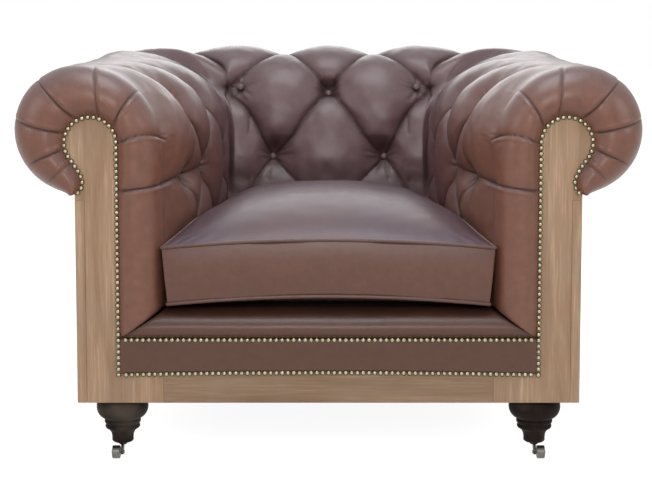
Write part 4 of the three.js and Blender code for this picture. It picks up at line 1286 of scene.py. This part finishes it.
def hide_group():
    """Hide: mottled colour, a deeper tone inside the chair, partly painted shade, painted sheen on up-facing
    crowns, painted shade in folds, fine grain and soft creases.
    """
    group, given, result = effect("hide_and_painted_light", [
        ("Hide", "NodeSocketColor", (0.16, 0.08, 0.06, 1)),
        ("Painted Top", "NodeSocketColor", (0.22, 0.18, 0.19, 1)),
        ("Painted Fold Shade", "NodeSocketColor", (0.020, 0.006, 0.005, 1)),
        ("Inside", "NodeSocketColor", (0.1, 0.07, 0.09, 1)),
        ("Painted Top Share", "NodeSocketFloat", 0.6),
        ("Grain Size", "NodeSocketFloat", 0.0011),
        ("Grain Depth", "NodeSocketFloat", 0.35),
    ])
    place = object_place(group)
    fold = add(group, "ShaderNodeAttribute", attribute_name="fold").outputs["Fac"]
    mottle = clouds(group, place, 55.0, 5.0, 0.6)

    # Colour: a deeper tone inside the chair, partly the hide's own and partly painted shade and painted
    # sheen;
    # painted sheen in patches on the up-facing crowns; mottled; and painted shade in the folds
    backwards = add(group, "ShaderNodeSeparateXYZ", {0: place}).outputs["Y"]
    within = spread(group, backwards, FRONT + 0.10, FRONT + 0.62, 0.0, 0.85)
    normal = add(group, "ShaderNodeNewGeometry").outputs["Normal"]
    upward = add(group, "ShaderNodeSeparateXYZ", {0: normal}).outputs["Z"]
    top = spread(group, upward, 0.0, 0.85)
    patches = spread(group, clouds(group, place, 5.0, 4.0, 0.55), 0.3, 0.7, 0.75, 1.1)
    # Painted sheen on the up-facing crowns, in patches (painted shade where the top colour is darker)
    painted_top = calculate(group, "MULTIPLY", calculate(group, "MULTIPLY", top, patches), given["Painted Top Share"])
    base = mix(group, within, given["Hide"], given["Inside"])
    base = mix(group, painted_top, base, given["Painted Top"])
    shade = spread(group, mottle, 0.25, 0.75, 0.86, 1.12)
    tone = add(group, "ShaderNodeCombineColor", {0: shade, 1: shade, 2: shade})
    base = mix(group, 1.0, base, tone.outputs[0], "MULTIPLY")
    group.links.new(mix(group, fold, base, given["Painted Fold Shade"]), result["Color"])

    # Sheen: uneven, and duller in the folds
    rough = spread(group, mottle, 0.2, 0.8, 0.30, 0.46)
    rougher = calculate(group, "ADD", rough, 0.25)
    dull = add(group, "ShaderNodeMix", {0: fold, 2: rough, 3: rougher}, data_type="FLOAT")
    group.links.new(dull.outputs[0], result["Roughness"])

    # Grain and fine creases
    frequency = calculate(group, "DIVIDE", 1.0, given["Grain Size"])
    pebble = add(group, "ShaderNodeTexVoronoi", {"Vector": place, "Scale": frequency}, feature="SMOOTH_F1")
    fine = add(group, "ShaderNodeBump", {"Strength": given["Grain Depth"], "Distance": 0.0004,
                                         "Height": pebble.outputs["Distance"]})
    creased = clouds(group, place, 140.0, 6.0, 0.65, 0.6)
    both = add(group, "ShaderNodeBump", {"Strength": 0.35, "Distance": 0.0008,
                                         "Height": creased, "Normal": fine.outputs[0]})
    group.links.new(both.outputs[0], result["Normal"])
    return group


def leather(name, group, hide, painted_top, inside, painted_top_share):
    # The top colour is a painted sheen on up-facing crowns, or painted shade where darker; the inside colour
    # is partly painted shade
    values = {"Hide": hide, "Painted Top": painted_top, "Inside": inside, "Painted Top Share": painted_top_share}
    material, _, surface, _ = grouped(name, group, values)
    surface.inputs["Specular IOR Level"].default_value = 0.36
    surface.inputs["Coat Weight"].default_value = 0.08
    surface.inputs["Coat Roughness"].default_value = 0.24
    return material


def grain_group():
    """Oak or stained wood: long grain, pores, figure and weathered patches."""
    group, given, result = effect("wood_grain", [
        ("Vector", "NodeSocketVector", (0, 0, 0)),
        ("Light", "NodeSocketColor", (0.42, 0.30, 0.20, 1)),
        ("Dark", "NodeSocketColor", (0.28, 0.19, 0.12, 1)),
        ("Pore Depth", "NodeSocketFloat", 0.4),
    ])
    long = add(group, "ShaderNodeMapping", {"Vector": given["Vector"], "Scale": (22.0, 22.0, 1.6)})
    thin = add(group, "ShaderNodeMapping", {"Vector": given["Vector"], "Scale": (420.0, 420.0, 16.0)})
    bands = clouds(group, long.outputs[0], 1.6, 5.0, 0.6, 0.8)
    pores = clouds(group, thin.outputs[0], 1.0, 3.0)
    figure = clouds(group, long.outputs[0], 0.9, 6.0, 0.7, 2.2)
    patches = clouds(group, given["Vector"], 9.0, 3.0)
    tone = mix(group, spread(group, bands, 0.32, 0.68), given["Dark"], given["Light"])
    tone = mix(group, spread(group, pores, 0.62, 0.5, 0.0, 0.45), tone, given["Dark"])
    tone = mix(group, spread(group, figure, 0.56, 0.70, 0.0, 0.55), tone, given["Dark"])
    tone = mix(group, spread(group, patches, 0.45, 0.75, 0.0, 0.25), tone, (0.40, 0.33, 0.26, 1))
    group.links.new(tone, result["Color"])
    group.links.new(spread(group, bands, 0.3, 0.7, 0.72, 0.58), result["Roughness"])
    bump = add(group, "ShaderNodeBump", {"Strength": given["Pore Depth"], "Distance": 0.0006,
                                         "Height": pores})
    group.links.new(bump.outputs[0], result["Normal"])
    return group


def wood(name, group, light, dark, turn=(0, 0, 0), shine=0.4):
    """Wood whose grain runs along Z before the turn."""
    material, tree, surface, grain = grouped(name, group, {"Light": light, "Dark": dark})
    turned = add(tree, "ShaderNodeMapping", {"Vector": object_place(tree), "Rotation": turn})
    tree.links.new(turned.outputs[0], grain.inputs["Vector"])
    surface.inputs["Specular IOR Level"].default_value = shine
    return material


def metal_group():
    """Uneven tarnish and scuffs on metal."""
    group, given, result = effect("tarnish", [
        ("Bright", "NodeSocketColor", (0.6, 0.5, 0.3, 1)),
        ("Dull", "NodeSocketColor", (0.1, 0.08, 0.04, 1)),
        ("Cover", "NodeSocketFloat", 0.5),
    ], GROUP_OUTPUTS[:2])
    spots = clouds(group, object_place(group), 420.0, 4.0)
    mask = calculate(group, "MULTIPLY", spots, given["Cover"])
    group.links.new(mix(group, mask, given["Bright"], given["Dull"]), result["Color"])
    group.links.new(spread(group, mask, 0.1, 0.7, 0.24, 0.55), result["Roughness"])
    return group


def metal(name, group, bright, dull, cover):
    values = {"Bright": bright, "Dull": dull, "Cover": cover}
    material, tree, surface, skin = grouped(name, group, values)
    surface.inputs["Metallic"].default_value = 1.0
    return material, tree, surface, skin


def nail_brass(group):
    """Antique brass, darker at the rim and brighter on the crown of each nail."""
    bright, dull, rim = (0.50, 0.45, 0.29), (0.08, 0.07, 0.04), (0.038, 0.033, 0.019, 1)
    material, tree, surface, skin = metal("antique_brass", group, bright, dull, 0.5)
    dome = add(tree, "ShaderNodeAttribute", attribute_name="dome").outputs["Fac"]
    tone = mix(tree, spread(tree, dome, 0.55, 0.97), rim, skin.outputs["Color"])
    tree.links.new(tone, surface.inputs["Base Color"])
    return material


def cloth(name, colour, scale):
    """A plain weave, with darker threads and gaps."""
    material, tree, surface = shader(name)
    weave = add(tree, "ShaderNodeTexBrick", {"Vector": object_place(tree), "Scale": scale})
    for label, share in (("Color1", 1), ("Color2", 0.8), ("Mortar", 0.45)):
        weave.inputs[label].default_value = (*[share * value for value in colour], 1)
    tree.links.new(weave.outputs["Color"], surface.inputs["Base Color"])
    bump = add(tree, "ShaderNodeBump", {"Strength": 0.5, "Distance": 0.0006, "Height": weave.outputs["Fac"]})
    tree.links.new(bump.outputs[0], surface.inputs["Normal"])
    surface.inputs["Roughness"].default_value = 0.95
    return material


# Studio

def seen_directly(tree):
    """1 for the rays that show the background itself, seen, mirrored or through glass; else 0."""
    rays = tree.nodes.new("ShaderNodeLightPath").outputs
    either = calculate(tree, "MAXIMUM", rays["Is Camera Ray"], rays["Is Glossy Ray"])
    return calculate(tree, "MAXIMUM", either, rays["Is Transmission Ray"])


def build_floor(half=20):
    """A white floor that keeps the shadow."""
    floor = in_scene("floor", bpy.data.meshes.new("floor"))
    corners = [(-half, -half, 0), (half, -half, 0), (half, half, 0), (-half, half, 0)]
    floor.data.from_pydata(corners, [], [(0, 1, 2, 3)])
    material = bpy.data.materials.new("studio_floor")
    tree = empty_tree(material)
    matte = add(tree, "ShaderNodeBsdfDiffuse", {"Color": (0.55, 0.55, 0.55, 1)})
    glow = calculate(tree, "MULTIPLY", seen_directly(tree), 0.92)
    white = add(tree, "ShaderNodeEmission", {"Color": (1, 1, 1, 1), "Strength": glow})
    both = add(tree, "ShaderNodeAddShader", {0: matte.outputs[0], 1: white.outputs[0]})
    add(tree, "ShaderNodeOutputMaterial", {0: both.outputs[0]})
    floor.data.materials.append(material)


def build_world():
    """An even, slightly cool light, and white where the background itself is seen."""
    scene.world = bpy.data.worlds.new("studio")
    tree = empty_tree(scene.world)
    light = add(tree, "ShaderNodeBackground", {"Color": (0.94, 0.96, 1.0, 1), "Strength": 0.30})
    shown = add(tree, "ShaderNodeBackground", {"Color": (1, 1, 1, 1), "Strength": 1.0})
    both = add(tree, "ShaderNodeMixShader",
               {0: seen_directly(tree), 1: light.outputs[0], 2: shown.outputs[0]})
    add(tree, "ShaderNodeOutputWorld", {0: both.outputs[0]})


def build_lamps():
    """Five soft round lamps turned to the seat: name, place, size, power and colour."""
    aim = Vector((0, 0, 0.35))
    for name, place, size, power, colour in (
        ("top", (0.0, -0.6, 2.5), 1.5, 30, (0.93, 0.96, 1.0)),
        ("front", (0.0, -3.7, 1.7), 1.2, 38, (1.0, 0.97, 0.93)),
        ("left", (-2.4, -1.6, 1.5), 1.2, 14, (1.0, 0.98, 0.96)),
        ("right", (2.4, -1.6, 1.5), 1.2, 14, (1.0, 0.98, 0.96)),
        ("rear", (0.0, 2.8, 1.9), 2.0, 18, (1.0, 1.0, 1.0)),
    ):
        lamp = bpy.data.lights.new(name, "AREA")
        lamp.shape = "DISK"
        lamp.size = size
        lamp.energy = power
        lamp.color = colour
        holder = in_scene(name, lamp)
        holder.location = place
        holder.rotation_euler = (aim - Vector(place)).to_track_quat("-Z", "Y").to_euler()


def photo_camera():
    """The photograph's view: 2.9 m in front of the wood, a little above the chair."""
    distance, height, pitch = 2.9, 0.8277, 5.5
    focal, width, chair_middle = 1606, 652, 328.5
    camera = bpy.data.cameras.new("camera")
    camera.sensor_width = 36
    camera.lens = camera.sensor_width * focal / width
    camera.shift_x = (width / 2 - chair_middle) / width
    camera.shift_y = -0.1153
    holder = in_scene("camera", camera)
    holder.location = (0, FRONT - distance, height)
    holder.rotation_euler = (math.radians(90 - pitch), 0, 0)
    scene.camera = holder


scene.view_settings.view_transform = "Standard"

hide_and_painted_light = hide_group()
wood_grain = grain_group()
tarnish = metal_group()

# Colours of the hide, of the painted top (painted sheen; on the band and the border, painted shade), and of
# the inside of the chair, partly painted shade; and the share of the painted top
hides = {}
for part, hide, painted_top, inside, painted_top_share in (
    ("body", (0.200, 0.084, 0.055), (0.124, 0.088, 0.090), (0.112, 0.064, 0.076), 0.85),
    ("seat", (0.138, 0.060, 0.040), (0.085, 0.058, 0.076), (0.116, 0.062, 0.050), 0.9),
    # Band and border are darker copies of the hide: painted shade below the seat's front
    ("band", (0.104, 0.044, 0.025), (0.06, 0.03, 0.02), (0.100, 0.050, 0.040), 0.5),
    ("border", (0.112, 0.044, 0.028), (0.045, 0.02, 0.014), (0.100, 0.050, 0.040), 0.9),
    ("outside", (0.150, 0.066, 0.044), (0.15, 0.11, 0.12), (0.150, 0.066, 0.044), 0.5),
    ("welt", (0.110, 0.046, 0.034), (0.12, 0.08, 0.08), (0.100, 0.050, 0.040), 0.5),
    ("button", (0.110, 0.046, 0.034), (0.12, 0.07, 0.07), (0.080, 0.050, 0.050), 0.5),
):
    hides[part] = leather(f"{part}_leather", hide_and_painted_light, hide, painted_top, inside, painted_top_share)

# The rails take a darker copy of the upright oak: painted shade
shaded_oak = ((0.43, 0.285, 0.18), (0.24, 0.145, 0.085))
oak_upright = wood("oak_upright", wood_grain, (0.58, 0.39, 0.25), (0.32, 0.19, 0.11))
oak_level = wood("oak_level", wood_grain, *shaded_oak, (0, math.pi / 2, 0))
oak_along = wood("oak_along", wood_grain, *shaded_oak, (math.pi / 2, 0, 0))
dark_wood = wood("dark_wood", wood_grain, (0.020, 0.010, 0.006), (0.008, 0.004, 0.003), shine=0.12)
jute = cloth("jute_strap", (0.30, 0.22, 0.12), 260.0)
lining = cloth("black_lining", (0.014, 0.013, 0.013), 700.0)
brass = nail_brass(tarnish)
dark_metal = metal("caster_steel", tarnish, (0.06, 0.055, 0.05), (0.02, 0.018, 0.016), 0.8)[0]
bright_metal = metal("wheel_steel", tarnish, (0.20, 0.197, 0.18), (0.06, 0.057, 0.05), 0.8)[0]

build_floor()
build_world()
build_lamps()
photo_camera()
build_arms(hides["body"])
build_back(hides["body"])
build_seat_border(hides["border"])
build_front_band(hides["band"])
build_cushion(hides["seat"], hides["welt"])
build_nails(brass)
build_outside_panels(hides["outside"])
build_buttons(hides["button"])
build_wood(oak_upright, oak_level, oak_along, dark_wood)
build_legs(dark_wood, dark_metal, bright_metal)
for node, material in (
    ("seat_webbing", jute), ("seat_deck", lining), ("dust_cover", lining),
    ("left_front_corner_block", oak_upright), ("right_front_corner_block", oak_upright),
    ("left_rear_corner_block", oak_upright), ("right_rear_corner_block", oak_upright),
):
    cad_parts[node].data.materials.clear()
    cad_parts[node].data.materials.append(material)
